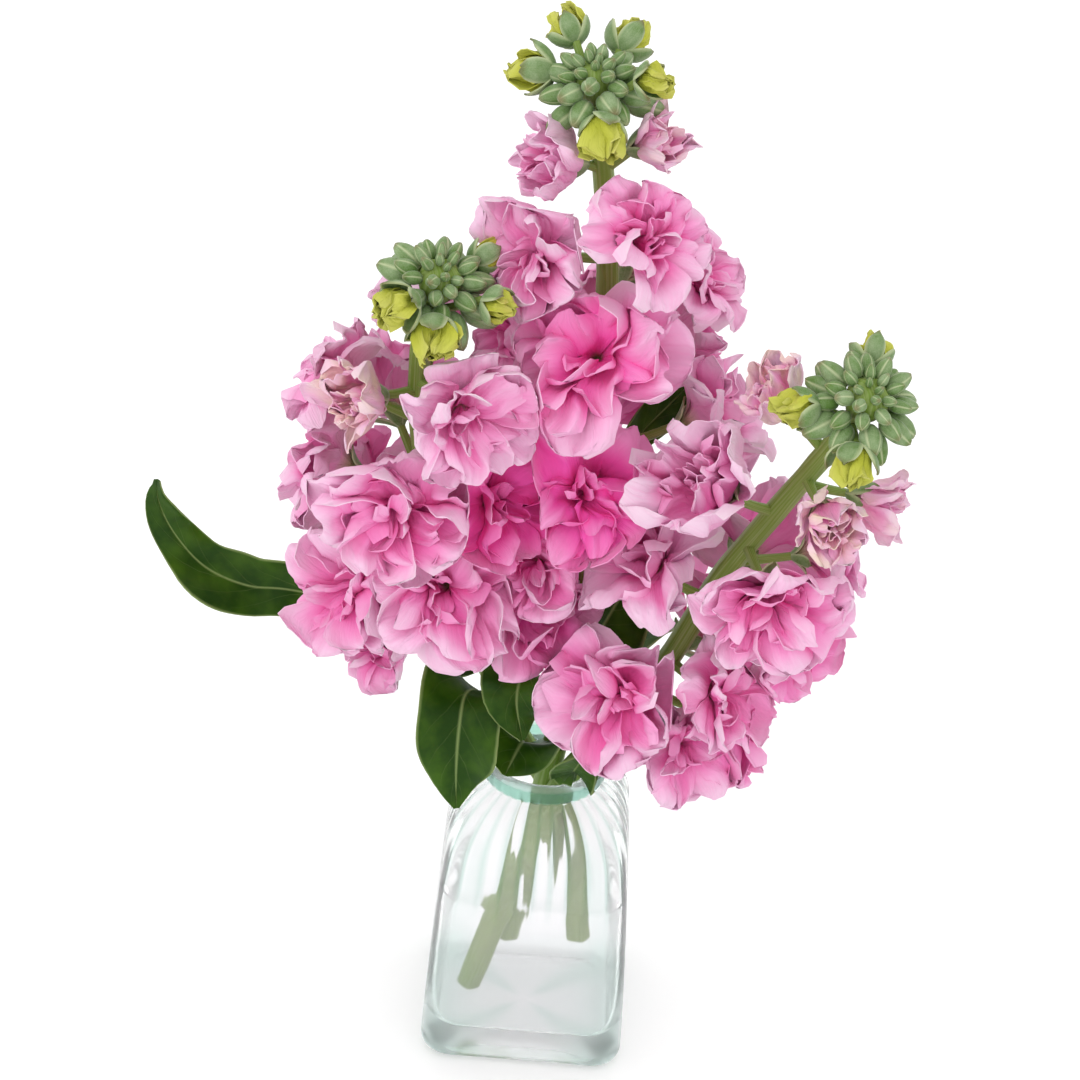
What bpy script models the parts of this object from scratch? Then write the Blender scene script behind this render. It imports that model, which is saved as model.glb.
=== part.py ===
"""Three cut stems of double stock standing in a small square glass vase.

Units are metres, +Z is up, and the origin is the centre of the vase's base.
-Y is the front of the arrangement. Every petal rosette, bud, leaf, stem, the
vase and its water is an object of its own.
"""
import math

import bmesh
import bpy
from mathutils import Matrix, Vector

MM = 0.001
GAP = 0.3 * MM

# ---------------------------------------------------------------- vase, mm
VASE_SIDES = 40
# height, half width across the flats, corner radius
VASE_OUTSIDE = [
    (0.0, 30.5, 8.0),
    (1.2, 33.6, 9.5),
    (4.0, 35.5, 10.0),
    (28.0, 34.8, 10.5),
    (56.0, 33.4, 11.5),
    (78.0, 31.9, 12.5),
    (88.0, 30.9, 15.0),
    (95.5, 28.6, 18.0),
    (101.0, 25.4, 19.5),
    (104.2, 22.0, 20.5),
    (104.9, 20.6, 20.6),
    (105.4, 21.4, 21.4),
    (108.0, 21.9, 21.9),
    (111.0, 21.4, 21.4),
    (112.0, 20.0, 20.0),
]
VASE_INSIDE = [
    (111.6, 18.4, 18.4),
    (103.0, 17.9, 17.9),
    (99.5, 20.0, 18.0),
    (94.0, 24.4, 17.0),
    (86.5, 27.4, 14.0),
    (76.0, 28.8, 11.0),
    (52.0, 29.8, 9.0),
    (27.0, 31.0, 8.0),
    (15.0, 30.4, 8.0),
    (12.0, 27.0, 8.0),
]
WATER_LEVEL = 66.0 * MM

# --------------------------------------------------------------- stems, mm
STEM_POINTS = {
    "left": [
        (18, 4, 32), (13, 8, 62), (3, 11, 90), (-9.5, 9, 112), (-20, 4, 140),
        (-31, -4, 170), (-42, -14, 210), (-48, -24, 250), (-49, -33, 281),
        (-46, -41, 301),
    ],
    "centre": [
        (-8, 8, 28), (-3, 5, 65), (2.5, -2.5, 110), (5, -4, 140), (7, -6, 182),
        (9, -9, 233), (8, -11, 279), (5, -12, 319), (-1, -14, 360),
    ],
    "right": [
        (-20, 5, 15), (-9, -5, 55), (8.5, -9.5, 110), (22, -14, 131), (38, -18, 167),
        (51, -25, 204), (65, -35, 237), (76, -47, 265), (82, -59, 285.5),
    ],
}
STEM_FOOT_RADIUS = 4.5 * MM
STEM_TIP_RADIUS = 3.2 * MM
STEM_STEPS = 3
PEDICEL_RADIUS = 1.2 * MM
PEDICEL_RISE = math.radians(25)

# ------------------------------------------------------------- florets, mm
# name: stem length below the tip, bearing in degrees (0 front, 90 right),
# reach of the rosette's middle from the stem, rosette radius
FLORETS = {
    "left": {
        "a": (30, 32, 32, 16),
        "b": (48, -93, 26, 14),
        "c": (40, 168, 26, 15),
        "d": (72, -12, 33, 18),
        "e": (78, -84, 30, 15),
        "f": (84, 58, 31, 18),
        "g": (78, -155, 30, 17),
        "h": (112, 12, 33, 18),
        "i": (120, -60, 34, 16),
        "j": (108, -125, 30, 17),
        "k": (138, 62, 30, 17),
        "l": (148, -60, 33, 13),
    },
    "centre": {
        "a": (52, -46, 30, 15),
        "b": (45, 20, 30, 15),
        "c": (69, 85, 34, 15),
        "d": (76, 165, 24, 14),
        "e": (85, -5, 35, 20),
        "f": (87, -75, 30, 16),
        "g": (98, 128, 26, 15),
        "h": (119, 84, 34, 17),
        "i": (131, -8, 30, 18),
        "j": (105, -160, 28, 18),
        "k": (141, 185, 30, 18),
        "l": (164, -34, 33, 13),
    },
    "right": {
        "a": (76, 10, 33, 19),
        "b": (104, -72, 30, 18),
        "c": (84, 100, 26, 15),
        "d": (112, 65, 30, 17),
        "e": (112, 150, 30, 18),
        "f": (150, -35, 32, 18),
        "g": (156, 68, 32, 16),
        "h": (167, 26, 33, 15),
        "i": (152, 140, 30, 16),
        "j": (134, 26, 30, 14),
    },
}
# the same four values for the flowers that are only half open
HALF_OPEN = {
    "left": {"a": (36, -42, 30, 12)},
    "centre": {"a": (20, -58, 20, 11), "b": (18, 72, 21, 9)},
    "right": {
        "a": (58, -66, 41, 15),
        "b": (38, 70, 26, 9),
        "c": (36, 15, 26, 9),
        "d": (20, -110, 26, 9),
    },
}
FLORET_SIDES = 14
# radius and height of the rosette's outline, as parts of its radius
FLORET_OUTLINE = [
    (0.12, -0.52), (0.20, -0.16), (0.78, -0.10), (1.0, 0.10),
    (0.86, 0.34), (0.50, 0.46),
]
HALF_OPEN_SIDES = 10
HALF_OPEN_OUTLINE = [
    (0.16, -1.30), (0.55, -1.0), (0.66, -0.2), (1.0, 0.45), (0.62, 0.95),
]

# ---------------------------------------------------------------- buds, mm
BUD_COUNT = 13
BUD_LENGTH = 6.0
BUD_RADIUS = 3.5
BUD_SPREAD = 13.0
CLUSTER_CORE = 8.6
GOLDEN_ANGLE = math.radians(137.508)
# bearing around the stem, angle from its tip, reach and radius of each of
# the larger, yellowing buds that stand out of a cluster
OPENING_BUDS = {
    "left": [(-32, 80, 20, 6.5), (5, 98, 20, 7), (64, 82, 19.5, 5.2), (140, 98, 19, 5)],
    "centre": [
        (-105, 85, 19, 6.8), (-155, 65, 20, 5.5), (150, 80, 20, 6), (60, 82, 20, 5.2),
        (5, 118, 20, 6.2),
    ],
    "right": [(-75, 108, 20, 6), (180, 104, 20, 5.6), (2, 107, 20, 6.3)],
}

# -------------------------------------------------------------- leaves, mm
# the stem it grows on, length below that stem's tip, bearing, the rest of its
# centre line from stalk to tip, greatest width, the way its upper face looks
LEAVES = {
    "leaf_far_left": (
        "left", 154, -70,
        [(-60, 12, 157), (-90, 12, 162), (-105, 11, 163), (-119, 8, 171),
         (-129, 5, 185), (-134, 2, 199), (-134, -2, 210)], 21, (0, -0.85, 0.53)),
    "leaf_collar_left": (
        "left", 186, -28,
        [(-24, -21, 150), (-28, -30, 154), (-29, -38, 147), (-29, -42, 133),
         (-28, -44, 118)], 30, (0, -0.2, 1)),
    "leaf_collar_front": (
        "centre", 229, -20,
        [(-2, -21, 153), (-9, -31, 165), (-11, -39, 160), (-8, -43, 147)],
        24, (0, -0.2, 1)),
    "leaf_collar_mid": (
        "left", 204, 0,
        [(-9, -8, 120), (-12, -16, 128), (-17, -23, 120)], 15, (0, -0.2, 1)),
    "leaf_small_left": (
        "left", 168, -95, [(-35, 4, 143), (-44, 5, 148)], 10, (0, -0.85, 0.5)),
    "leaf_gap": (
        "centre", 207, 40,
        [(12, -13, 166), (12, -16, 182), (14, -15, 199)], 17, (0, -1, 0.1)),
    "leaf_mouth_right": (
        "right", 190, -10, [(10, -21, 120), (14, -25, 131)], 12, (0, -1, 0.1)),
    "leaf_behind": (
        "centre", 135, 110, [(22, 8, 236), (34, 16, 248), (42, 20, 258)],
        12, (0, -0.85, 0.5)),
    "leaf_back_left": (
        "left", 192, 170,
        [(-22, 26, 142), (-34, 38, 146), (-48, 46, 138)], 22, (0, 0, 1)),
    "leaf_back_right": (
        "centre", 225, 110, [(20, 12, 144), (32, 28, 150), (42, 42, 142)],
        22, (0, 0, 1)),
}
LEAF_SEAT = 0.9 * MM
LEAF_THICKNESS = 1.0 * MM
LEAF_STALK = 0.7
LEAF_ROWS = 9

COLLECTION = "stock_flower_in_vase"


# ------------------------------------------------------------------ helpers
def clear_scene():
    for thing in list(bpy.data.objects):
        bpy.data.objects.remove(thing, do_unlink=True)


def new_collection(name):
    collection = bpy.data.collections.new(name)
    bpy.context.scene.collection.children.link(collection)
    return collection


def material(name, colour, roughness, transmission=0.0):
    """A Principled material, made once for each name."""
    made = bpy.data.materials.get(name)
    if made is None:
        made = bpy.data.materials.new(name)
        made.use_nodes = True
        shader = made.node_tree.nodes["Principled BSDF"]
        shader.inputs["Base Color"].default_value = (*colour, 1.0)
        shader.inputs["Roughness"].default_value = roughness
        shader.inputs["Transmission Weight"].default_value = transmission
        made.diffuse_color = (*colour, 1.0)
    return made


def add_object(name, mesh, collection, look, matrix=None):
    part = bpy.data.objects.new(name, mesh)
    part.data.materials.append(look)
    if matrix is not None:
        part.matrix_world = matrix
    collection.objects.link(part)
    return part


def to_mesh(bm, name):
    bmesh.ops.recalc_face_normals(bm, faces=bm.faces)
    mesh = bpy.data.meshes.new(name)
    bm.to_mesh(mesh)
    bm.free()
    return mesh


def spin_profile(profile, sides):
    """Turn (radius, height) points about Z, closing both ends on the axis."""
    bm = bmesh.new()
    points = [(0.0, profile[0][1]), *profile, (0.0, profile[-1][1])]
    chain = [bm.verts.new((radius, 0.0, height)) for radius, height in points]
    edges = [bm.edges.new(pair) for pair in zip(chain, chain[1:])]
    bmesh.ops.spin(
        bm, geom=chain + edges, axis=(0, 0, 1), cent=(0, 0, 0),
        angle=math.tau, steps=sides, use_merge=True)
    bmesh.ops.remove_doubles(bm, verts=bm.verts, dist=0.00001)
    return bm


def smooth_path(points, steps):
    """Points of a Catmull-Rom curve through the given ones, in metres."""
    knots = [Vector(point) * MM for point in points]
    knots = [2 * knots[0] - knots[1], *knots, 2 * knots[-1] - knots[-2]]
    path = []
    for a, b, c, d in zip(knots, knots[1:], knots[2:], knots[3:]):
        for step in range(steps):
            t = step / steps
            path.append(0.5 * (
                2 * b + (c - a) * t + (2 * a - 5 * b + 4 * c - d) * t ** 2
                + (3 * b - a - 3 * c + d) * t ** 3))
    path.append(knots[-2])
    return path


def path_length(path):
    return sum((b - a).length for a, b in zip(path, path[1:]))


def point_below_tip(path, distance):
    """The place and upward direction at a length measured down from the tip."""
    for upper, lower in zip(path[::-1], path[-2::-1]):
        step = (upper - lower).length
        if distance <= step:
            return upper.lerp(lower, distance / step), (upper - lower) / step
        distance -= step
    return path[0], (path[1] - path[0]).normalized()


def tube(name, points, radii, resolution):
    """A closed mesh tube along the points, made from a bevelled curve."""
    curve = bpy.data.curves.new(name, "CURVE")
    curve.dimensions = "3D"
    curve.bevel_depth = 1.0
    curve.bevel_resolution = resolution
    curve.use_fill_caps = True
    spline = curve.splines.new("POLY")
    spline.points.add(len(points) - 1)
    for knot, point, radius in zip(spline.points, points, radii):
        knot.co = (*point, 1.0)
        knot.radius = radius
    holder = bpy.data.objects.new(name, curve)
    bpy.context.scene.collection.objects.link(holder)
    graph = bpy.context.evaluated_depsgraph_get()
    mesh = bpy.data.meshes.new_from_object(holder.evaluated_get(graph))
    bpy.data.objects.remove(holder)
    bm = bmesh.new()
    bm.from_mesh(mesh)
    bmesh.ops.remove_doubles(bm, verts=bm.verts, dist=0.00001)
    bmesh.ops.recalc_face_normals(bm, faces=bm.faces)
    bm.to_mesh(mesh)
    bm.free()
    mesh.materials.clear()
    return mesh


def boolean(target, other, operation, crossing=False):
    """Apply an exact Boolean; crossing says that the other's pieces may cross."""
    change = target.modifiers.new(operation.lower(), "BOOLEAN")
    change.operation = operation
    change.solver = "EXACT"
    change.use_self = crossing
    change.object = other
    graph = bpy.context.evaluated_depsgraph_get()
    old = target.data
    target.data = bpy.data.meshes.new_from_object(target.evaluated_get(graph))
    target.modifiers.clear()
    bpy.data.meshes.remove(old)


def cutter(mesh, collection):
    shape = bpy.data.objects.new(mesh.name + "_cutter", mesh)
    shape.hide_render = True
    shape.display_type = "WIRE"
    collection.objects.link(shape)
    return shape


def joined(meshes, name):
    """One mesh that holds several separate ones."""
    bm = bmesh.new()
    for mesh in meshes:
        bm.from_mesh(mesh)
        bpy.data.meshes.remove(mesh)
    whole = bpy.data.meshes.new(name)
    bm.to_mesh(whole)
    bm.free()
    return whole


# --------------------------------------------------------------- vase, water
def square_reach(half_width, corner, angle):
    """Distance from the middle of a rounded square to its edge at an angle."""
    across = abs(math.cos(angle))
    along = abs(math.sin(angle))
    high, low = max(across, along), min(across, along)
    flat = half_width - corner
    if half_width * low / high <= flat:
        return half_width / high
    middle = flat * (high + low)
    return middle + math.sqrt(max(middle ** 2 - 2 * flat ** 2 + corner ** 2, 0.0))


def rounded_square_body(sections, sides, name):
    """Turn the sections about Z, then push each ring out to its square."""
    profile = [(width * MM, height * MM) for height, width, corner in sections]
    bm = spin_profile(profile, sides)
    for vert in bm.verts:
        radius = vert.co.xy.length
        if radius < GAP:
            continue
        height, width, corner = min(
            sections,
            key=lambda row: abs(row[0] * MM - vert.co.z) + abs(row[1] * MM - radius))
        angle = math.atan2(vert.co.y, vert.co.x)
        vert.co.xy *= square_reach(width, corner, angle) / width
    return to_mesh(bm, name)


def build_vase(parts):
    glass = material("aqua_glass", (0.80, 0.92, 0.88), 0.03, 1.0)
    mesh = rounded_square_body(VASE_OUTSIDE + VASE_INSIDE, VASE_SIDES, "vase")
    add_object("vase", mesh, parts, glass)


def build_water(parts, cutters, stems):
    """Fill the vase to the water level, clear of its walls and the stems."""
    clear = material("water", (0.95, 0.98, 0.97), 0.0, 1.0)
    inset = GAP / MM
    level = WATER_LEVEL / MM
    below = [row for row in VASE_INSIDE[::-1] if row[0] < level]
    (low, low_width, low_corner), (high, high_width, high_corner) = [
        (lower, upper) for lower, upper in zip(VASE_INSIDE[::-1], VASE_INSIDE[-2::-1])
        if lower[0] < level <= upper[0]][0]
    share = (level - low) / (high - low)
    top = (
        level,
        low_width + share * (high_width - low_width),
        low_corner + share * (high_corner - low_corner))
    sections = [
        (height + (inset if index == 0 else 0), width - 2 * inset, corner)
        for index, (height, width, corner) in enumerate([*below, top])]
    mesh = rounded_square_body(sections, VASE_SIDES, "water")
    water = add_object("water", mesh, parts, clear)
    for side in stems:
        path = smooth_path(STEM_POINTS[side], STEM_STEPS)
        path = [2 * path[0] - path[1], *path]
        radii = [STEM_FOOT_RADIUS + 2 * GAP] * len(path)
        sleeve = cutter(tube(side + "_sleeve", path, radii, 2), cutters)
        boolean(water, sleeve, "DIFFERENCE")


# -------------------------------------------------------------------- stems
def stem_radii(count):
    return [
        STEM_FOOT_RADIUS + (STEM_TIP_RADIUS - STEM_FOOT_RADIUS) * index / (count - 1)
        for index in range(count)]


def on_stem(side, below_tip, bearing):
    """A place on a stem's axis, its upward direction, and the way out of it."""
    path = smooth_path(STEM_POINTS[side], STEM_STEPS)
    place, up = point_below_tip(path, below_tip * MM)
    turn = math.radians(bearing)
    outward = Vector((math.sin(turn), -math.cos(turn), 0.0))
    return place, up, (outward - outward.dot(up) * up).normalized()


def flower_place(side, below_tip, bearing, reach):
    """Foot of the pedicel on the stem's axis, its direction, and its far end."""
    foot, up, outward = on_stem(side, below_tip, bearing)
    direction = outward * math.cos(PEDICEL_RISE) + up * math.sin(PEDICEL_RISE)
    return foot, direction, foot + direction * reach * MM


def build_stem(side, parts, cutters):
    green = material("stem_green", (0.20, 0.26, 0.06), 0.5)
    path = smooth_path(STEM_POINTS[side], STEM_STEPS)
    mesh = tube("stem_" + side, path, stem_radii(len(path)), 2)
    stem = add_object("stem_" + side, mesh, parts, green)
    stalks = []
    for table, outline in ((FLORETS, FLORET_OUTLINE), (HALF_OPEN, HALF_OPEN_OUTLINE)):
        for name, (below_tip, bearing, reach, radius) in table[side].items():
            foot, direction, middle = flower_place(side, below_tip, bearing, reach)
            end = middle + direction * (outline[0][1] * radius * MM - GAP)
            stalks.append(tube(name, [foot, end], [PEDICEL_RADIUS] * 2, 1))
    boolean(stem, cutter(joined(stalks, "stalks_" + side), cutters), "UNION", crossing=True)


# ------------------------------------------------------------------ flowers
def facing_matrix(place, direction):
    turn = Vector((0.0, 0.0, 1.0)).rotation_difference(direction)
    return Matrix.Translation(place) @ turn.to_matrix().to_4x4()


def ruffled_body(outline, radius, sides, phase, depth, name):
    """A turned flower body whose rim and face rise and fall around it."""
    profile = [(across * radius, height * radius) for across, height in outline]
    bm = spin_profile(profile, sides)
    for vert in bm.verts:
        angle = math.atan2(vert.co.y, vert.co.x)
        share = min(vert.co.xy.length / radius, 1.0)
        if share < 0.3:
            continue
        ripple = math.sin(5 * angle + phase) * depth * share
        vert.co.z += ripple * radius
        vert.co.xy *= 1.0 - depth * 0.5 * (1.0 + math.sin(4 * angle - phase))
    return to_mesh(bm, name)


def build_flowers(side, parts):
    pink = material("petal_pink", (0.74, 0.22, 0.47), 0.6)
    for table, outline, sides, depth, label in (
            (FLORETS, FLORET_OUTLINE, FLORET_SIDES, 0.09, "floret"),
            (HALF_OPEN, HALF_OPEN_OUTLINE, HALF_OPEN_SIDES, 0.04, "half_open")):
        for index, (name, row) in enumerate(table[side].items()):
            below_tip, bearing, reach, radius = row
            foot, direction, middle = flower_place(side, below_tip, bearing, reach)
            node = "_".join((label, side, name))
            mesh = ruffled_body(outline, radius * MM, sides, index * 1.7, depth, node)
            add_object(node, mesh, parts, pink, facing_matrix(middle, direction))


# --------------------------------------------------------------- bud clusters
def ball(centre, direction, length, radius, name):
    """A small egg pointing along a direction."""
    bm = bmesh.new()
    bmesh.ops.create_uvsphere(bm, u_segments=6, v_segments=4, radius=1.0)
    scale = Matrix.Diagonal((radius * MM, radius * MM, length * MM, 1.0))
    bmesh.ops.transform(bm, matrix=facing_matrix(centre, direction) @ scale, verts=bm.verts)
    return to_mesh(bm, name)


def build_cluster(side, parts, cutters):
    """Tight green buds around the stem's tip, fused with their stalks."""
    green = material("bud_green", (0.36, 0.46, 0.20), 0.6)
    path = smooth_path(STEM_POINTS[side], STEM_STEPS)
    tip, up = point_below_tip(path, 0.0)
    base = tip + up * (CLUSTER_CORE * MM + 2 * GAP)
    frame = up.rotation_difference(Vector((0, 0, 1))).inverted()
    core = ball(base, up, CLUSTER_CORE, CLUSTER_CORE, "bud_cluster_" + side)
    cluster = add_object("bud_cluster_" + side, core, parts, green)
    for index in range(BUD_COUNT):
        share = math.sqrt(index / (BUD_COUNT - 1))
        tilt = share * math.radians(88)
        turn = index * GOLDEN_ANGLE
        way = Vector((
            math.sin(tilt) * math.cos(turn), math.sin(tilt) * math.sin(turn), math.cos(tilt)))
        way = frame @ way
        size = 0.72 + 0.28 * share
        place = base + way * BUD_SPREAD * (0.62 + 0.38 * share) * MM
        bud = ball(place, way, BUD_LENGTH * size, BUD_RADIUS * size, "bud")
        boolean(cluster, cutter(bud, cutters), "UNION")
    for bearing, angle, reach, radius in OPENING_BUDS[side]:
        turn = math.radians(bearing)
        tilt = math.radians(angle)
        outward = Vector((math.sin(turn), -math.cos(turn), 0.0))
        outward = (outward - outward.dot(up) * up).normalized()
        way = outward * math.sin(tilt) + up * math.cos(tilt)
        place = base + way * reach * MM
        stalk = tube("stalk", [base, place], [PEDICEL_RADIUS] * 2, 1)
        boolean(cluster, cutter(stalk, cutters), "UNION")
        bud = ball(place, way, radius * 1.15, radius, "opening_bud")
        boolean(cluster, cutter(bud, cutters), "UNION")


# ------------------------------------------------------------------- leaves
def build_leaf(name, side, below_tip, bearing, points, width, face, parts):
    """A tapering strip along a centre line, folded a little at its midrib."""
    green = material("leaf_green", (0.05, 0.11, 0.015), 0.4)
    axis, up, outward = on_stem(side, below_tip, bearing)
    share = below_tip * MM / path_length(smooth_path(STEM_POINTS[side], STEM_STEPS))
    radius = STEM_TIP_RADIUS + (STEM_FOOT_RADIUS - STEM_TIP_RADIUS) * share
    stalk = axis + outward * (radius + LEAF_SEAT)
    path = smooth_path([stalk / MM, *points], 4)
    length = path_length(path)
    bm = bmesh.new()
    bmesh.ops.create_grid(bm, x_segments=2, y_segments=LEAF_ROWS, size=1.0)
    for vert in bm.verts:
        edge, share = vert.co.x, (vert.co.y + 1.0) / 2.0
        place, back = point_below_tip(path, length * (1.0 - share))
        across = back.cross(Vector(face)).normalized()
        lift = across.cross(back)
        half = max(width / 2 * math.sin(math.pi * share ** 1.15) ** 0.7, LEAF_STALK) * MM
        vert.co = place + across * edge * half + lift * abs(edge) * half * 0.35
    mesh = to_mesh(bm, name)
    leaf = add_object(name, mesh, parts, green)
    shell = leaf.modifiers.new("thickness", "SOLIDIFY")
    shell.thickness = LEAF_THICKNESS
    shell.offset = 0.0


# --------------------------------------------------------------------- main
def main():
    clear_scene()
    parts = new_collection(COLLECTION)
    cutters = new_collection("cutters")
    build_vase(parts)
    for side in STEM_POINTS:
        build_stem(side, parts, cutters)
        build_flowers(side, parts)
        build_cluster(side, parts, cutters)
    for name, growth in LEAVES.items():
        build_leaf(name, *growth, parts)
    build_water(parts, cutters, STEM_POINTS)


main()
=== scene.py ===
"""Pink double stock in a small square glass vase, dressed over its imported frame."""
import math

import bpy
import numpy
from bpy.props import FloatProperty, FloatVectorProperty, IntProperty, PointerProperty
from bpy.types import Operator, Panel, PropertyGroup
from mathutils import Matrix, Vector
from mathutils.bvhtree import BVHTree


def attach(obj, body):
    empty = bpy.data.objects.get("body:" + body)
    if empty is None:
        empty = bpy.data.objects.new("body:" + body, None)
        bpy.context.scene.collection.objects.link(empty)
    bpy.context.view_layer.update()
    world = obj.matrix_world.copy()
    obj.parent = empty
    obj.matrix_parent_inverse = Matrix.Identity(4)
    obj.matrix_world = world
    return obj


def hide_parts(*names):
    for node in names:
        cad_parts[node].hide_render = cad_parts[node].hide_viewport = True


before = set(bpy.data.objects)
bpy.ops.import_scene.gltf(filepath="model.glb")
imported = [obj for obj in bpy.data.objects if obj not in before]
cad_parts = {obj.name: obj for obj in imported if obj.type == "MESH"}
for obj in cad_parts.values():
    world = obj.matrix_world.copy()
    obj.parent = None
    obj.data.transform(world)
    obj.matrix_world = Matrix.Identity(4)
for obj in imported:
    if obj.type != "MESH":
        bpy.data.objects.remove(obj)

bl_info = {
    "name": "Stock flowers in a glass vase",
    "version": (1, 0, 0),
    "blender": (4, 5, 0),
    "location": "View3D > Sidebar > Stock",
    "description": "Builds ruffled stock flowers, their leaves and stems, and a glass vase of water",
    "category": "Object",
}

BODY = "root"
MM = 0.001
UP = Vector((0, 0, 1))
SIDES = ("left", "centre", "right")
GOLDEN_ANGLE = math.radians(137.508)
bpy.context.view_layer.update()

# the stems' centre lines in millimetres, foot to tip. They are the solids' own,
# apart from the right stem's foot, which stands 10 mm further forward
STEM_POINTS = {
    "left": [
        (18, 4, 32), (13, 8, 62), (3, 11, 90), (-9.5, 9, 112), (-20, 4, 140),
        (-31, -4, 170), (-42, -14, 210), (-48, -24, 250), (-49, -33, 281),
        (-46, -41, 301),
    ],
    "centre": [
        (-8, 8, 28), (-3, 5, 65), (2.5, -2.5, 110), (5, -4, 140), (7, -6, 182),
        (9, -9, 233), (8, -11, 279), (5, -12, 319), (-1, -14, 360),
    ],
    "right": [
        (-20.5, -5, 14.5), (-9.5, -7.5, 55), (8.5, -9.5, 110), (22, -14, 131), (38, -18, 167),
        (51, -25, 204), (65, -35, 237), (76, -47, 265), (82, -59, 285.5),
    ],
}
STEM_FOOT_RADIUS = 4.5
STEM_TIP_RADIUS = 3.2

# bearing around the stem, angle from its tip, reach and radius in millimetres
# of the larger buds that show their first petals
OPENING_BUDS = {
    "left": [(-32, 80, 20, 6.5), (5, 98, 20, 7), (64, 82, 19.5, 5.2), (140, 98, 19, 5)],
    "centre": [
        (-105, 85, 19, 6.8), (-155, 65, 20, 5.5), (150, 80, 20, 6), (60, 82, 20, 5.2),
        (5, 118, 20, 6.2),
    ],
    "right": [(-75, 108, 20, 6), (180, 104, 20, 5.6), (2, 107, 20, 6.3)],
}
# from a stem's tip to the middle of its bud cluster, mm
CLUSTER_LIFT = {"left": 15.5, "centre": 9.2, "right": 14.0}

# the stem it grows on, length below that stem's tip, bearing, the rest of its
# centre line from stalk to tip, greatest width, the way its upper face looks
# (leaf_gap, leaf_collar_mid, leaf_collar_front and leaf_mouth_right are wider
# than their solids, and the first two also lean another way)
LEAVES = {
    "leaf_far_left": (
        "left", 154, -70,
        [(-60, 12, 157), (-90, 12, 162), (-105, 11, 163), (-119, 8, 171),
         (-129, 5, 185), (-134, 2, 199), (-134, -2, 210)], 21, (0, -0.85, 0.53)),
    "leaf_collar_left": (
        "left", 186, -28,
        [(-24, -21, 150), (-28, -30, 154), (-29, -38, 147), (-29, -42, 133),
         (-28, -44, 118)], 30, (0, -0.2, 1)),
    "leaf_collar_front": (
        "centre", 229, -20,
        [(-2, -21, 153), (-9, -31, 165), (-11, -39, 160), (-8, -43, 147)],
        28, (0, -0.2, 1)),
    "leaf_collar_mid": (
        "left", 204, 0,
        [(-6, -9, 119), (-8, -15, 126), (-13, -25, 119)], 34, (0, -0.2, 1)),
    "leaf_small_left": (
        "left", 168, -95, [(-35, 4, 143), (-44, 5, 148)], 10, (0, -0.85, 0.5)),
    "leaf_gap": (
        "centre", 207, 40,
        [(12, -13, 166), (19, -14, 184), (29, -12, 207)], 26, (0, -1, 0.1)),
    "leaf_mouth_right": (
        "right", 190, -10, [(10, -21, 120), (14, -25, 131)], 16, (0, -1, 0.1)),
    "leaf_behind": (
        "centre", 135, 110, [(22, 8, 236), (34, 16, 248), (42, 20, 258)],
        12, (0, -0.85, 0.5)),
    "leaf_back_left": (
        "left", 192, 170,
        [(-22, 26, 142), (-34, 38, 146), (-48, 46, 138)], 22, (0, 0, 1)),
    "leaf_back_right": (
        "centre", 225, 110, [(20, 12, 144), (32, 28, 150), (42, 42, 142)],
        22, (0, 0, 1)),
}

# height, half width across the flats and corner radius of the glass, mm
VASE_OUTSIDE = [
    (1.3, 8.0, 6.0), (1.2, 20.0, 8.0), (0.5, 26.5, 8.0), (0.0, 29.2, 8.0),
    (0.5, 31.8, 9.0), (1.6, 33.9, 9.5), (4.0, 35.3, 10.0),
    (9.0, 35.5, 10.0), (28.0, 34.8, 10.5), (56.0, 33.4, 11.5), (78.0, 31.9, 12.5),
    (88.0, 30.9, 15.0), (95.5, 28.6, 18.0), (101.0, 25.2, 19.5), (103.6, 22.6, 20.5),
    (104.8, 21.2, 21.0), (105.6, 21.4, 21.4), (107.0, 21.9, 21.9), (109.4, 22.0, 22.0),
    (111.2, 21.3, 21.3), (112.0, 20.0, 20.0),
]
VASE_INSIDE = [
    (111.7, 18.8, 18.8), (110.2, 18.0, 18.0), (103.0, 17.9, 17.9), (99.5, 20.0, 18.0),
    (94.0, 24.4, 17.0), (86.5, 27.4, 14.0), (76.0, 28.8, 11.0), (52.0, 29.8, 9.0),
    (27.0, 31.0, 8.0), (15.0, 30.4, 8.0), (12.4, 28.4, 8.0), (11.9, 24.0, 8.0),
    (11.8, 8.0, 6.0),
]
VASE_SIDES = 200
# lowest and highest height of each tinted or fluted band, and the fade past them, mm
LIP_BAND = (105.6, 109.8, 1.0)
LIP_BAND_INSIDE = (104.5, 110.2, 1.2)
FLUTE_BAND = (80.0, 97.0, 20.0)
FOOT_BAND = (0.0, 2.0, 9.0)
CORNER_BAND = (0.0, 38.0, 26.0)
# how teal the flutes, the foot and its corners are, where the lip is 1
FLUTE_TINT = 0.65
FOOT_TINT = 0.16
CORNER_TINT = 0.45
# height of the water, how far it goes into the glass, and the height and width
# of its climb where it meets the glass, mm
WATER_LEVEL = 66.0
WATER_OVERLAP = 0.1
WATER_CLIMB = 0.2
WATER_CLIMB_WIDTH = 1.0
# half width and corner radius of the innermost ring of its surface, mm
WATER_MIDDLE = (8.0, 6.0)
# flowers closer than this many radii press on each other, over this depth
PRESS_REACH = 2.4
PRESS_DEPTH = 2.0 * MM
# no petal reaches further than this many radii from the middle of its flower,
# and over the last of them, its border, it is held back more and more
FREE_REACH = 2.35
FREE_BORDER = 0.45
# rays from a petal, and how near they must meet another to count it as enclosed, where the petal
# material paints shade
HIDDEN_RAYS = 10
HIDDEN_REACH = 14 * MM
PETAL_COLUMNS = 19
PETAL_ROWS = 13
BUD_PETAL_COLUMNS = 11
BUD_PETAL_ROWS = 9
SEPAL_COLUMNS = 9
SEPAL_ROWS = 9
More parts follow.
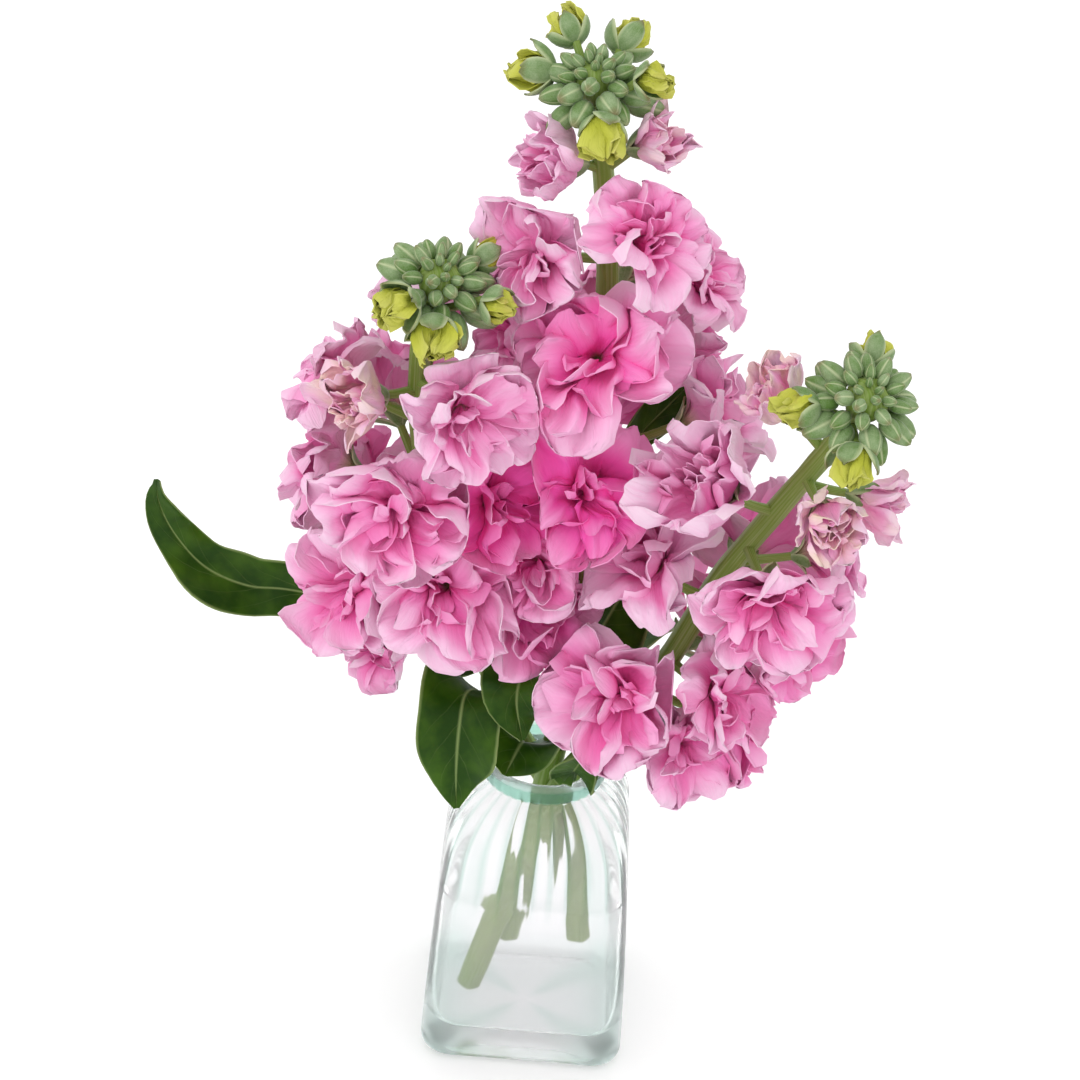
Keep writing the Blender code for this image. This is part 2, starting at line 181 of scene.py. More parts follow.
# edges sharper than this stay crisp when a piece is shaded smooth
RIM_ANGLE = math.radians(65)
# points made for each given one: where only a place on a path is sought, along a
# stem, along a leaf, and up the glass
COARSE_STEPS = 3
STEM_STEPS = 8
LEAF_STEPS = 6
VASE_STEPS = 4

# how much smaller or larger over their solids some flowers grow than the rest do,
# and how far some hang to one side of their solids, in millimetres
GROWTH = {
    "floret_centre_c": 0.86, "floret_centre_a": 1.06, "floret_right_a": 0.93,
    "floret_right_c": 0.92, "floret_right_d": 0.93, "floret_right_g": 0.92,
    "floret_right_h": 0.90, "floret_right_i": 1.05, "floret_left_l": 0.80,
    "floret_left_c": 1.06, "floret_left_g": 1.10, "half_open_left_a": 0.80,
    "half_open_centre_b": 0.90,
}
HALF_OPEN_GROWTH = 1.05
MOVED = {
    "floret_right_h": (4, 2, 7), "floret_right_g": (0, 0, 4), "floret_centre_c": (-4, 0, -3),
    "floret_right_i": (-5, 0, 4),
}
# the foot of a flower's solid is made of the points that are at most this much
# further from the stem than the nearest one
FOOT_DEPTH = 0.5 * MM


# ------------------------------------------------------- node tree shorthand
class Field:
    """A socket that arithmetic can be done on, with a Math node for each step."""

    def __init__(self, tree, socket):
        self.tree = tree
        self.socket = socket

    def math(self, operation, *others, clamp=False):
        node = self.tree.nodes.new("ShaderNodeMath")
        node.operation = operation
        node.use_clamp = clamp
        for slot, value in zip(node.inputs, (self, *others)):
            plug(self.tree, slot, value)
        return Field(self.tree, node.outputs[0])

    def __add__(self, other):
        return self.math("ADD", other)

    __radd__ = __add__

    def __sub__(self, other):
        return self.math("SUBTRACT", other)

    def __rsub__(self, other):
        return self.math("MULTIPLY", -1.0).math("ADD", other)

    def __mul__(self, other):
        return self.math("MULTIPLY", other)

    __rmul__ = __mul__

    def __truediv__(self, other):
        return self.math("DIVIDE", other)

    def __pow__(self, other):
        return self.math("POWER", other)

    def sin(self):
        return self.math("SINE")

    def cos(self):
        return self.math("COSINE")

    def abs(self):
        return self.math("ABSOLUTE")

    def clamp(self):
        return self.math("ADD", 0.0, clamp=True)

    def towards(self, other, share):
        """This value at share 0, the other at share 1."""
        return self + (other - self) * share


def plug(tree, slot, value):
    """Set or link a node's input."""
    if isinstance(value, Field):
        tree.links.new(value.socket, slot)
    elif isinstance(value, bpy.types.NodeSocket):
        tree.links.new(value, slot)
    else:
        slot.default_value = value


def add_node(tree, kind, settings=(), **inputs):
    """A node with its settings and inputs; input names have _ for a space."""
    node = tree.nodes.new(kind)
    for name, value in dict(settings).items():
        setattr(node, name, value)
    for name, value in inputs.items():
        plug(tree, node.inputs[name.replace("_", " ")], value)
    return node


def output(node, name=0):
    """A node's output, ready for arithmetic."""
    return Field(node.id_data, node.outputs[name])


def vector_of(tree, x, y, z):
    """A vector made of three numbers or sockets."""
    return output(add_node(tree, "ShaderNodeCombineXYZ", X=x, Y=y, Z=z))


def parts_of(tree, vector):
    """The X, Y and Z of a vector."""
    split = add_node(tree, "ShaderNodeSeparateXYZ", Vector=vector)
    return [output(split, axis) for axis in "XYZ"]


def vector_math(tree, operation, first, second):
    """One step of arithmetic on vectors; SCALE takes a number as its second value."""
    node = add_node(tree, "ShaderNodeVectorMath", {"operation": operation})
    plug(tree, node.inputs[0], first)
    plug(tree, node.inputs["Scale" if operation == "SCALE" else 1], second)
    return output(node)


def shaped(tree, value, points):
    """A value read from a smooth curve through the points, from 0 to 1."""
    node = add_node(tree, "ShaderNodeFloatCurve", Value=value)
    curve = node.mapping.curves[0]
    for position, height in points[1:-1]:
        curve.points.new(position, height)
    curve.points[0].location = points[0]
    curve.points[-1].location = points[-1]
    node.mapping.update()
    return output(node)


# ------------------------------------------------------------------ settings
def length_property(name, description, default):
    """A setting in metres."""
    return FloatProperty(
        name=name, description=description, default=default, min=0.0,
        subtype="DISTANCE", unit="LENGTH", precision=4)


def share_property(name, description, default, most=3.0):
    """A plain factor."""
    return FloatProperty(
        name=name, description=description, default=default, min=0.0, max=most,
        subtype="FACTOR")


def angle_property(name, description, degrees):
    """An angle, given in degrees."""
    return FloatProperty(
        name=name, description=description, default=math.radians(degrees),
        subtype="ANGLE", unit="ROTATION")


def count_property(name, description, default):
    """A whole number of like pieces."""
    return IntProperty(name=name, description=description, default=default, min=3, max=200)


def colour_property(name, description, default):
    """A colour in linear red, green and blue."""
    return FloatVectorProperty(
        name=name, description=description, default=default, size=3,
        min=0.0, max=1.0, subtype="COLOR")


class StockPetalSettings(PropertyGroup):
    """Sizes and colours of the open and half-open flowers."""

    count: count_property("Petals", "Petals in an open floret", 16)
    length: share_property("Petal length", "Petal length over the solid's radius", 2.15)
    width: share_property("Petal width", "Half width over the solid's radius", 1.0)
    thickness: length_property("Thickness", "Thickness of a petal", 0.3 * MM)
    fold: share_property("Fold", "How far the sides of a petal curl", 0.9)
    ruffle: share_property("Ruffle", "Height of the waves along a petal's edge", 0.31)
    crumple: share_property("Crumple", "Size of the soft dents in a petal", 0.30)
    blade: colour_property("Blade", "Colour of a petal's middle", (0.97, 0.61, 0.83))
    edge: colour_property("Edge", "Colour of a petal's outer edge", (0.90, 0.74, 0.82))
    throat: colour_property("Throat", "Colour at a petal's foot", (0.62, 0.60, 0.24))
    # the shade colour is the petals' deeper pink, and also their painted shade where they are
    # enclosed or lie deep in the bouquet
    shade: colour_property("Shade", "Colour of the darker petals", (0.96, 0.11, 0.49))
    cream: colour_property("Cream", "Colour of newly opened petals", (0.93, 0.75, 0.58))
    bud_yellow: colour_property("Bud yellow", "Petals still in the bud", (0.58, 0.60, 0.06))


class StockBudSettings(PropertyGroup):
    """Sizes and colours of the buds and sepals."""

    count: count_property("Buds", "Closed buds at a stem's tip", 38)
    length: length_property("Bud length", "Half the length of the largest bud", 6.6 * MM)
    radius: length_property("Bud radius", "Radius of the largest bud", 4.3 * MM)
    spread: length_property("Spread", "Distance from the tip to a bud's foot", 8.6 * MM)
    smallest: share_property("Smallest", "Size of the innermost bud", 0.26, 1.0)
    green: colour_property("Green", "Colour of a sepal", (0.11, 0.22, 0.04))
    bloom: colour_property("Bloom", "Grey down on a sepal", (0.46, 0.56, 0.35))
    rim: colour_property("Rim", "Colour of a sepal's edge", (0.62, 0.68, 0.40))
    tip: colour_property("Tip", "Colour of a sepal's tip", (0.20, 0.15, 0.06))


class StockGreenSettings(PropertyGroup):
    """Sizes and colours of the stems and leaves."""

    leaf_thickness: length_property("Leaf thickness", "Thickness of a leaf", 0.5 * MM)
    leaf_dark: colour_property("Leaf", "Colour of a leaf", (0.016, 0.056, 0.002))
    leaf_light: colour_property("Leaf light", "Colour of its lighter parts", (0.075, 0.17, 0.010))
    leaf_rib: colour_property("Rib", "Colour of the midrib and edge", (0.30, 0.40, 0.14))
    stem_green: colour_property("Stem", "Colour of a stem", (0.20, 0.31, 0.045))
    stem_light: colour_property("Stem light", "Colour of its pale streaks", (0.47, 0.56, 0.24))
    stem_brown: colour_property("Stem brown", "Colour of its brown streaks", (0.24, 0.17, 0.09))


class StockGlassSettings(PropertyGroup):
    """Sizes and colours of the vase and the water."""

    flutes: count_property("Flutes", "Flutes around the shoulder", 36)
    flute_depth: length_property("Flute depth", "Depth of a flute", 0.9 * MM)
    clear: colour_property("Clear", "Colour of the thin glass", (0.99, 0.985, 0.995))
    teal: colour_property("Teal", "Colour of the thick lip and flutes", (0.40, 0.68, 0.58))


class StockStageSettings(PropertyGroup):
    """Light, floor and camera."""

    daylight: share_property("Daylight", "Strength of the even light", 1.0)
    window: FloatProperty(
        name="Window", description="Power of the soft lamp", default=3.8, min=0.0,
        subtype="POWER", unit="POWER")
    glow: share_property("Floor glow", "Light added to the floor for the camera", 0.24)
    elevation: angle_property("Elevation", "Camera angle above level", 32)
    roll: angle_property("Roll", "Camera roll", 4.7)
    distance: length_property("Distance", "Camera distance from the aim", 1.0189)


# -------------------------------------------------------------- mesh helpers
def add_piece(name, mesh, replaced=()):
    """A finished piece at the origin, riding on the object's one body."""
    mesh.name = name
    piece = bpy.data.objects.new(name, mesh)
    bpy.context.scene.collection.objects.link(piece)
    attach(piece, BODY)
    if replaced:
        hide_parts(*replaced)
    return piece


def held(mesh):
    """A passing object that holds a mesh while it is worked on."""
    holder = bpy.data.objects.new("holder", mesh)
    bpy.context.scene.collection.objects.link(holder)
    return holder


def finished(holder, thickness=0.0, matrix=None):
    """A holder's mesh, with its modifiers applied, its wall given and put in place."""
    if thickness:
        shell = holder.modifiers.new("thickness", "SOLIDIFY")
        shell.thickness = thickness
        shell.offset = 0.0
    graph = bpy.context.evaluated_depsgraph_get()
    made = bpy.data.meshes.new_from_object(holder.evaluated_get(graph))
    bpy.data.objects.remove(holder)
    if matrix is not None:
        made.transform(matrix)
    made.shade_smooth()
    made.set_sharp_from_angle(angle=RIM_ANGLE)
    return made


def run_tree(tree, values, matrix=None, thickness=0.0, source=None):
    """The plain mesh that a node group makes from the given named inputs."""
    holder = held(source or bpy.data.meshes.new("empty"))
    change = holder.modifiers.new("grow", "NODES")
    change.node_group = tree
    for item in tree.interface.items_tree:
        if item.in_out == "INPUT" and item.name in values:
            change[item.identifier] = values[item.name]
    return finished(holder, thickness, matrix)


def joined(meshes):
    """One mesh made of several that share their material and attributes."""
    holders = [held(mesh) for mesh in meshes]
    with bpy.context.temp_override(
            active_object=holders[0], selected_editable_objects=holders):
        bpy.ops.object.join()
    mesh = holders[0].data
    bpy.data.objects.remove(holders[0])
    return mesh


def store(mesh, name, values):
    """Keep one number for each point of a mesh under a name."""
    layer = mesh.attributes.new(name, "FLOAT", "POINT")
    layer.data.foreach_set("value", values)


def smooth_path(points, steps):
    """Points of a Catmull-Rom curve through the given ones, in metres."""
    knots = [Vector(point) * MM for point in points]
    knots = [2 * knots[0] - knots[1], *knots, 2 * knots[-1] - knots[-2]]
    path = []
    for a, b, c, d in zip(knots, knots[1:], knots[2:], knots[3:]):
        for step in range(steps):
            t = step / steps
            path.append(0.5 * (
                2 * b + (c - a) * t + (2 * a - 5 * b + 4 * c - d) * t ** 2
                + (3 * b - a - 3 * c + d) * t ** 3))
    path.append(knots[-2])
    return path


def path_length(path):
    """Length along a path of points."""
    return sum((b - a).length for a, b in zip(path, path[1:]))


def point_below_tip(path, distance):
    """The place and upward direction at a length measured down from the tip."""
    for upper, lower in zip(path[::-1], path[-2::-1]):
        step = (upper - lower).length
        if distance <= step:
            return upper.lerp(lower, distance / step), (upper - lower) / step
        distance -= step
    return path[0], (path[1] - path[0]).normalized()


def facing_matrix(place, direction):
    """The matrix that sets a piece at a place with its Z along a direction."""
    turn = UP.rotation_difference(direction)
    return Matrix.Translation(place) @ turn.to_matrix().to_4x4()


def bearing_out(bearing, up):
    """The way out of a stem at a bearing, 0 at the front and 90 at the right."""
    turn = math.radians(bearing)
    outward = Vector((math.sin(turn), -math.cos(turn), 0.0))
    return (outward - outward.dot(up) * up).normalized()


def nodes_named(prefix):
    """The frame's nodes whose names start with a prefix, in order."""
    return [name for name in sorted(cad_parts) if name.startswith(prefix)]


def stem_search(side):
    """A tree that finds the nearest point on a stem's solid."""
    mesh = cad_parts["stem_" + side].data
    return BVHTree.FromPolygons(
        [vert.co for vert in mesh.vertices], [face.vertices for face in mesh.polygons])


def moved_by(node):
    """How far a flower hangs to one side of its solid."""
    return Vector(MOVED.get(node, (0, 0, 0))) * MM


def grow_place(node, stem_tree):
    """Matrix at a flower's foot with Z outwards, its radius, and its solid's height."""
    points = [vert.co.copy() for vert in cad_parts[node].data.vertices]
    middle = sum(points, Vector()) / len(points)
    reach = [stem_tree.find_nearest(point)[3] for point in points]
    near = min(reach) + FOOT_DEPTH
    foot_points = [point for point, away in zip(points, reach) if away < near]
    foot = sum(foot_points, Vector()) / len(foot_points)
    out = (middle - foot).normalized()
    radius = max(((point - foot) - (point - foot).dot(out) * out).length for point in points)
    radius *= GROWTH.get(node, 1.0)
    if node.startswith("half_open_"):
        radius *= HALF_OPEN_GROWTH
    height = max((point - foot).dot(out) for point in points)
    return facing_matrix(foot + moved_by(node), out), radius, height


def flower_balls():
    """Middle and mean radius of each flower's and bud cluster's solid."""
    balls = {}
    for name in nodes_named("floret_") + nodes_named("half_open_") + nodes_named("bud_cluster_"):
        points = numpy.array([vert.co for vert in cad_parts[name].data.vertices])
        middle = (points.min(axis=0) + points.max(axis=0)) / 2
        size = numpy.linalg.norm(points - middle, axis=1).mean() * GROWTH.get(name, 1.0)
        balls[name] = middle + numpy.array(moved_by(name)), size
    return balls


def press(mesh, name, balls):
    """Flatten a flower against the planes between it and its neighbours, and hold it
    within its free reach."""
    points = numpy.empty(len(mesh.vertices) * 3)
    mesh.vertices.foreach_get("co", points)
    points = points.reshape(-1, 3)
    own, size = balls[name]
    for other, (middle, radius) in balls.items():
        apart = middle - own
        distance = numpy.linalg.norm(apart)
        if other == name or distance > PRESS_REACH * (size + radius):
            continue
        way = apart / distance
        beyond = (points - own) @ way - distance * size / (size + radius)
        deep = numpy.maximum(beyond + PRESS_DEPTH, 0.0)
        back = PRESS_DEPTH * (1.0 - numpy.exp(-deep / PRESS_DEPTH)) - deep
        points += back[:, None] * way
    reach = numpy.linalg.norm(points - own, axis=1)
    soft = size * FREE_BORDER
    deep = numpy.maximum(reach - size * FREE_REACH + soft, 0.0)
    kept = reach - deep + soft * (1.0 - numpy.exp(-deep / soft))
    points = own + (points - own) * (kept / numpy.maximum(reach, 1e-6))[:, None]
    mesh.vertices.foreach_set("co", points.ravel())


def mark_hidden(sheets):
    """Store how enclosed each point of the petals is, from 0 in the open to 1; the petal material
    paints shade where it is high.
    """
    points = []
    faces = []
    for sheet in sheets:
        first = len(points)
        points += [vert.co.copy() for vert in sheet.vertices]
        faces += [[first + corner for corner in face.vertices] for face in sheet.polygons]
    petals = BVHTree.FromPolygons(points, faces)
    ways = []
    for number in range(HIDDEN_RAYS):
        level = 1 - (2 * number + 1) / HIDDEN_RAYS
        flat = math.sqrt(1 - level * level)
        turn = number * GOLDEN_ANGLE
        ways.append(Vector((flat * math.cos(turn), flat * math.sin(turn), level)))
    for sheet in sheets:
        shut = []
        for vert in sheet.vertices:
            hits = [petals.ray_cast(vert.co + way * MM, way, HIDDEN_REACH)[3] for way in ways]
            shut.append(sum(hit is not None for hit in hits) / HIDDEN_RAYS)
        # smoothed twice across and along each petal
        shut = numpy.array(shut).reshape(-1, PETAL_COLUMNS, PETAL_ROWS)
        for axis in (1, 2, 1, 2):
            ends = numpy.concatenate(
                [shut.take([0], axis), shut, shut.take([-1], axis)], axis)
            count = shut.shape[axis]
            shut = sum(ends.take(range(step, step + count), axis) for step in range(3)) / 3
        store(sheet, "enclosed_shade", shut.ravel())


# ------------------------------------------------------- geometry node groups
def new_group(name, inputs):
    """An empty geometry node group and its named inputs."""
    tree = bpy.data.node_groups.new(name, "GeometryNodeTree")
    tree.interface.new_socket("Geometry", in_out="OUTPUT", socket_type="NodeSocketGeometry")
    tree.interface.new_socket("Geometry", in_out="INPUT", socket_type="NodeSocketGeometry")
    for label, kind, default in inputs:
        socket = tree.interface.new_socket(label, in_out="INPUT", socket_type=kind)
        if default is not None:
            socket.default_value = default
    start = tree.nodes.new("NodeGroupInput")
    labels = ["Geometry", *(label for label, kind, default in inputs)]
    return tree, {label: output(start, label) for label in labels}


def finish_group(tree, geometry, material):
    """End a group in Realize Instances and Set Material."""
    real = add_node(tree, "GeometryNodeRealizeInstances", Geometry=geometry)
    dressed = add_node(
        tree, "GeometryNodeSetMaterial", Geometry=real.outputs[0], Material=material)
    end = tree.nodes.new("NodeGroupOutput")
    plug(tree, end.inputs[0], dressed.outputs[0])


def keep_attribute(tree, geometry, name, value, domain="POINT", kind="FLOAT"):
    """The geometry with a value stored on it under a name."""
    node = add_node(
        tree, "GeometryNodeStoreNamedAttribute",
        {"data_type": kind, "domain": domain}, Geometry=geometry, Name=name)
    plug(tree, node.inputs["Value"], value)
    return node.outputs[0]


def keep_uv(tree, geometry, across, along):
    """The geometry with a UV map stored on it."""
    return keep_attribute(
        tree, geometry, "UVMap", vector_of(tree, across, along, 0.0), "CORNER", "FLOAT2")


def read_attribute(tree, name):
    """A number stored on the geometry under a name."""
    return output(add_node(
        tree, "GeometryNodeInputNamedAttribute", {"data_type": "FLOAT"}, Name=name))


def random_share(tree, low, high, index, seed):
    """A random number for each index."""
    node = add_node(
        tree, "FunctionNodeRandomValue", {"data_type": "FLOAT"}, ID=index, Seed=seed)
    plug(tree, node.inputs[2], low)
    plug(tree, node.inputs[3], high)
    return output(node, 1)


# ------------------------------------------------------------- petal growth
PETAL_INPUTS = [
    ("Petals", "NodeSocketInt", 19),
    ("Spacing", "NodeSocketFloat", GOLDEN_ANGLE),
    ("Length", "NodeSocketFloat", 0.02),
    ("Half Width", "NodeSocketFloat", 0.01),
    ("Outer Start", "NodeSocketFloat", 0.5),
    ("Outer End", "NodeSocketFloat", 2.0),
    ("Inner Start", "NodeSocketFloat", 0.1),
    ("Inner End", "NodeSocketFloat", 0.5),
    ("Inner Size", "NodeSocketFloat", 0.6),
    ("Throat", "NodeSocketFloat", 0.0015),
    ("Fold", "NodeSocketFloat", 0.8),
    ("Ruffle", "NodeSocketFloat", 0.2),
    ("Crumple", "NodeSocketFloat", 0.003),
    ("Variety", "NodeSocketFloat", 1.0),
    ("Blush", "NodeSocketFloat", 0.0),
    ("Deep", "NodeSocketFloat", 0.3),
    ("Seed", "NodeSocketInt", 1),
    ("Material", "NodeSocketMaterial", None),
]
# half width of a petal and of a sepal along its length, from its claw to its tip
PETAL_OUTLINE = [
    (0.0, 0.12), (0.16, 0.30), (0.42, 0.80), (0.66, 1.0), (0.86, 0.93), (0.95, 0.76), (1.0, 0.46),
]
SEPAL_OUTLINE = [(0.0, 0.42), (0.25, 0.86), (0.55, 1.0), (0.82, 0.74), (0.95, 0.40), (1.0, 0.16)]
# added to a petal's bend, because its arc is divided by it and two leans can be equal
LEAST_BEND = 0.011


def shaken(tree, place, size, strength, seed):
    """A place moved by a smooth random field, so that nested sheets bend together."""
    cloud = add_node(
        tree, "ShaderNodeTexNoise", {"noise_dimensions": "4D"}, Vector=place,
        Scale=size ** -1.0, Detail=0.0, W=seed * 1.93)
    centred = vector_math(tree, "SUBTRACT", cloud.outputs["Color"], (0.5, 0.5, 0.5))
    offset = vector_math(tree, "SCALE", centred, strength * 2.0)
    return vector_math(tree, "ADD", place, offset)


def petal_tree(name, outline, columns, rows):
    """Petals wound around a middle, each rolled, ruffled and dented by chance."""
    tree, given = new_group(name, PETAL_INPUTS)
    seed = given["Seed"]
    variety = given["Variety"]
    line = add_node(tree, "GeometryNodeMeshLine", Count=given["Petals"], Offset=(0.0, 0.0, 0.0))
    grid = add_node(
        tree, "GeometryNodeMeshGrid", Size_X=2.0, Size_Y=1.0, Vertices_X=columns, Vertices_Y=rows)
    flat_x, flat_y = parts_of(tree, output(tree.nodes.new("GeometryNodeInputPosition")))[:2]
    sheet = keep_attribute(tree, grid.outputs[0], "across", flat_x)
    sheet = keep_attribute(tree, sheet, "along", flat_y + 0.5)
    copies = add_node(
        tree, "GeometryNodeInstanceOnPoints", Points=line.outputs[0], Instance=sheet)
    index = output(tree.nodes.new("GeometryNodeInputIndex"))
    marked = keep_attribute(tree, copies.outputs[0], "petal", index, "INSTANCE")
    real = add_node(tree, "GeometryNodeRealizeInstances", Geometry=marked)

    # nine random numbers for each petal, which the seed decides
    petal = read_attribute(tree, "petal")
    across = read_attribute(tree, "across")
    along = read_attribute(tree, "along")
    share = petal / (given["Petals"] - 1.0)
    chance = [random_share(tree, -1.0, 1.0, petal, seed + number) for number in range(9)]

    # the petal lies on a bowl around the middle, an arc that leans out from foot to tip
    turn = petal * given["Spacing"] + chance[0] * variety * 0.30
    size = (1.0 - share * (1.0 - given["Inner Size"])) * (1.0 + chance[1] * variety * 0.14)
    length = given["Length"] * size
    start = given["Outer Start"].towards(given["Inner Start"], share) + (
        chance[2] * variety * 0.10)
    end = given["Outer End"].towards(given["Inner End"], share) + chance[3] * variety * 0.32
    sweep = end - start + LEAST_BEND
    edge_wave = (across * 2.8 + chance[4] * 3.0).sin() * 0.09
    edge_wave = edge_wave + (across * 7.3 + chance[5] * 5.0).sin() * 0.025
    edge_wave = edge_wave - (across * across) * 0.10
    reach = along * (1.0 + edge_wave * along * variety)
    lean = start + sweep * reach
    out = given["Throat"] + length * (start.cos() - lean.cos()) / sweep
    rise = length * (lean.sin() - start.sin()) / sweep
    half = given["Half Width"] * size * shaped(tree, along, outline) * (
        1.0 + chance[5] * variety * 0.16)
    swing = across * half / (out.math("MAXIMUM", 0.0) + half * 0.35)

    # waves lift it off the bowl, most of all at its border
    border = (along ** 2.0) * 0.5 + (across.abs() ** 2.0) * along * 0.5
    ruffle = (across * 4.4 + along * 1.6 + chance[4] * 9.0).sin() * (border + along * 0.2)
    ruffle = ruffle + (across * 11.0 - along * 3.0 + chance[7] * 9.0).sin() * border * 0.50
    crinkles = add_node(
        tree, "ShaderNodeTexNoise", {"noise_dimensions": "4D"}, Scale=1.0, Detail=1.0,
        Vector=vector_of(tree, across * 3.0, along * 2.2, petal * 5.3), W=seed * 2.11)
    ruffle = ruffle + (output(crinkles, 0) - 0.5) * border * 1.3
    roll = across * across * half * along * given["Fold"] * (chance[6] * 0.42 * variety + 0.08)
    tip_curl = (along ** 4.0) * length * (chance[8] * variety * 0.12 - 0.02)
    twist = across * along * half * chance[7] * variety * 0.25
    bulge = given["Ruffle"] * half * ruffle + roll + tip_curl + twist

    radial = out - lean.cos() * bulge
    height = rise + lean.sin() * bulge
    way = turn + swing + along * along * chance[8] * variety * 0.14
    bowl = vector_of(tree, way.cos() * radial, way.sin() * radial, height)
    strength = given["Crumple"] * (along * 1.6).clamp()
    bent = shaken(tree, bowl, given["Length"] * 0.46, strength, seed)
    bent = shaken(tree, bent, given["Length"] * 0.19, strength * 0.40, seed + 3.0)
    moved = add_node(
        tree, "GeometryNodeSetPosition", Geometry=real.outputs[0], Position=bent)
    toned = keep_attribute(tree, moved.outputs[0], "tone", chance[1] * 0.5 + 0.5)
    toned = keep_attribute(tree, toned, "blush", given["Blush"])
    # the floret's depth of pink, partly its own colour and partly painted shade
    toned = keep_attribute(tree, toned, "deep", given["Deep"])
    mapped = keep_uv(tree, toned, across * 0.5 + 0.5, along)
    finish_group(tree, mapped, given["Material"])
    return tree


# ---------------------------------------------------------------- materials
def new_material(name):
    """A material with its node tree and its shader."""
    material = bpy.data.materials.new(name)
    material.use_nodes = True
    tree = material.node_tree
    return material, tree, tree.nodes["Principled BSDF"]


def set_sockets(shader, **values):
    """Set a shader's plain values; names have _ for a space."""
    for name, value in values.items():
        shader.inputs[name.replace("_", " ")].default_value = value


def attribute(tree, name):
    """A number stored on the piece, read by its material."""
    return output(add_node(tree, "ShaderNodeAttribute", {"attribute_name": name}), "Fac")


def surface_place(tree):
    """The piece's own UV map, as two numbers."""
    mapped = add_node(tree, "ShaderNodeUVMap", {"uv_map": "UVMap"})
    return parts_of(tree, output(mapped))[:2]


def colour_mix(tree, share, first, second):
    """A colour between two others, each a socket or plain numbers."""
    node = add_node(tree, "ShaderNodeMix", {"data_type": "RGBA"})
    plug(tree, node.inputs[0], share)
    for slot, value in ((node.inputs[6], first), (node.inputs[7], second)):
        if isinstance(value, Field):
            plug(tree, slot, value)
        else:
            slot.default_value = (*value, 1.0)
    return output(node, 2)


def noise(tree, vector, scale=1.0, detail=2.0):
    """Smooth noise, about 0.5 on average."""
    return output(add_node(tree, "ShaderNodeTexNoise", Vector=vector, Scale=scale, Detail=detail))


def add_bump(tree, shader, height, strength, distance):
    """Let a height roughen the shader's surface."""
    bump = add_node(
        tree, "ShaderNodeBump", Strength=strength, Distance=distance, Height=height)
    plug(tree, shader.inputs["Normal"], bump.outputs[0])


def petal_material(name, blade_colour, edge_colour, shade_colour):
    """Thin satin petal: pale edge, faint veins, green-yellow foot, and a deeper pink heart, partly
    its own colour and partly painted shade.
    """
    petals = bpy.context.scene.stock_petals
    material, tree, shader = new_material(name)
    across, along = surface_place(tree)
    side = (across * 2.0 - 1.0).abs()
    tone = attribute(tree, "tone")
    blush = attribute(tree, "blush")
    floret = attribute(tree, "deep")

    # painted shade: the more other petals enclose a point, the deeper pink it is painted and the
    # less of its pale edge it keeps, standing in for the shade between petals
    closed_in = attribute(tree, "enclosed_shade")
    enclosed_shade = ((closed_in - 0.38) * 2.0).clamp()
    sheltered_shade = (closed_in * 1.7 - 0.25).clamp()
    # deeper pink from the floret's depth of colour (partly painted shade), a random tone, painted
    # shade where enclosed, and a rise toward the foot that is partly its own colour and partly
    # painted shade of the flower's heart
    deep = (floret * 0.55 + tone * 0.12 + enclosed_shade * 0.66 + (0.3 - along) * 0.25).clamp()
    blade = colour_mix(tree, deep, blade_colour, shade_colour)
    rim = ((along - 0.55) * 1.5).clamp() * 0.65 + (side ** 4.0) * along * 0.45
    pale = colour_mix(tree, (rim * (1.15 - floret - sheltered_shade * 0.9)).clamp(), blade, edge_colour)
    veins = noise(tree, vector_of(tree, across * 34.0, along * 2.6, tone * 9.0))
    veined = colour_mix(tree, ((veins - 0.45) * 1.4).clamp() * 0.30, pale, shade_colour)
    patches = noise(tree, vector_of(tree, across * 2.2, along * 2.2, tone * 31.0))
    creamed = colour_mix(
        tree, ((patches - 0.38) * 3.0).clamp() * blush, veined, petals.cream)
    foot = (1.0 - along * 3.6).clamp()
    plug(tree, shader.inputs["Base Color"], colour_mix(tree, foot, creamed, petals.throat))
    set_sockets(
        shader, Roughness=0.6, Sheen_Weight=0.05, Sheen_Roughness=0.4, Specular_IOR_Level=0.2)
    creases = noise(tree, vector_of(tree, across * 9.0, along * 3.0, tone * 17.0), 1.0, 4.0)
    add_bump(tree, shader, creases + veins * 0.35, 0.65, 1.2 * MM)
    return material


def sepal_material():
    """Downy grey-green sepal with pale seams."""
    buds = bpy.context.scene.stock_buds
    material, tree, shader = new_material("stock_sepal")
    across, along = surface_place(tree)
    tone = attribute(tree, "tone")
    side = (across * 2.0 - 1.0).abs()
    place = output(tree.nodes.new("ShaderNodeTexCoord"), "Object")
    down = noise(tree, place, 2600.0, 2.0)
    broad = noise(tree, place, 220.0, 2.0)
    greyed = ((broad - 0.35) * 1.4 + (down - 0.5) * 0.8 + tone * 0.3).clamp() * 0.75
    green = colour_mix(tree, greyed, buds.green, buds.bloom)
    stripe = noise(tree, vector_of(tree, across * 26.0, along * 1.5, tone * 13.0), 1.0, 2.0)
    rim = ((side - 0.60) * 2.6).clamp() * 0.75 + ((stripe - 0.52) * 2.0).clamp() * 0.35
    rimmed = colour_mix(tree, rim.clamp(), green, buds.rim)
    tip = ((along - 0.82) * 6.0).clamp() * (tone * 0.5 + 0.35)
    plug(tree, shader.inputs["Base Color"], colour_mix(tree, tip, rimmed, buds.tip))
    set_sockets(
        shader, Roughness=0.6, Sheen_Weight=0.25, Sheen_Roughness=0.35,
        Specular_IOR_Level=0.3)
    add_bump(tree, shader, down, 0.35, 0.2 * MM)
    return material


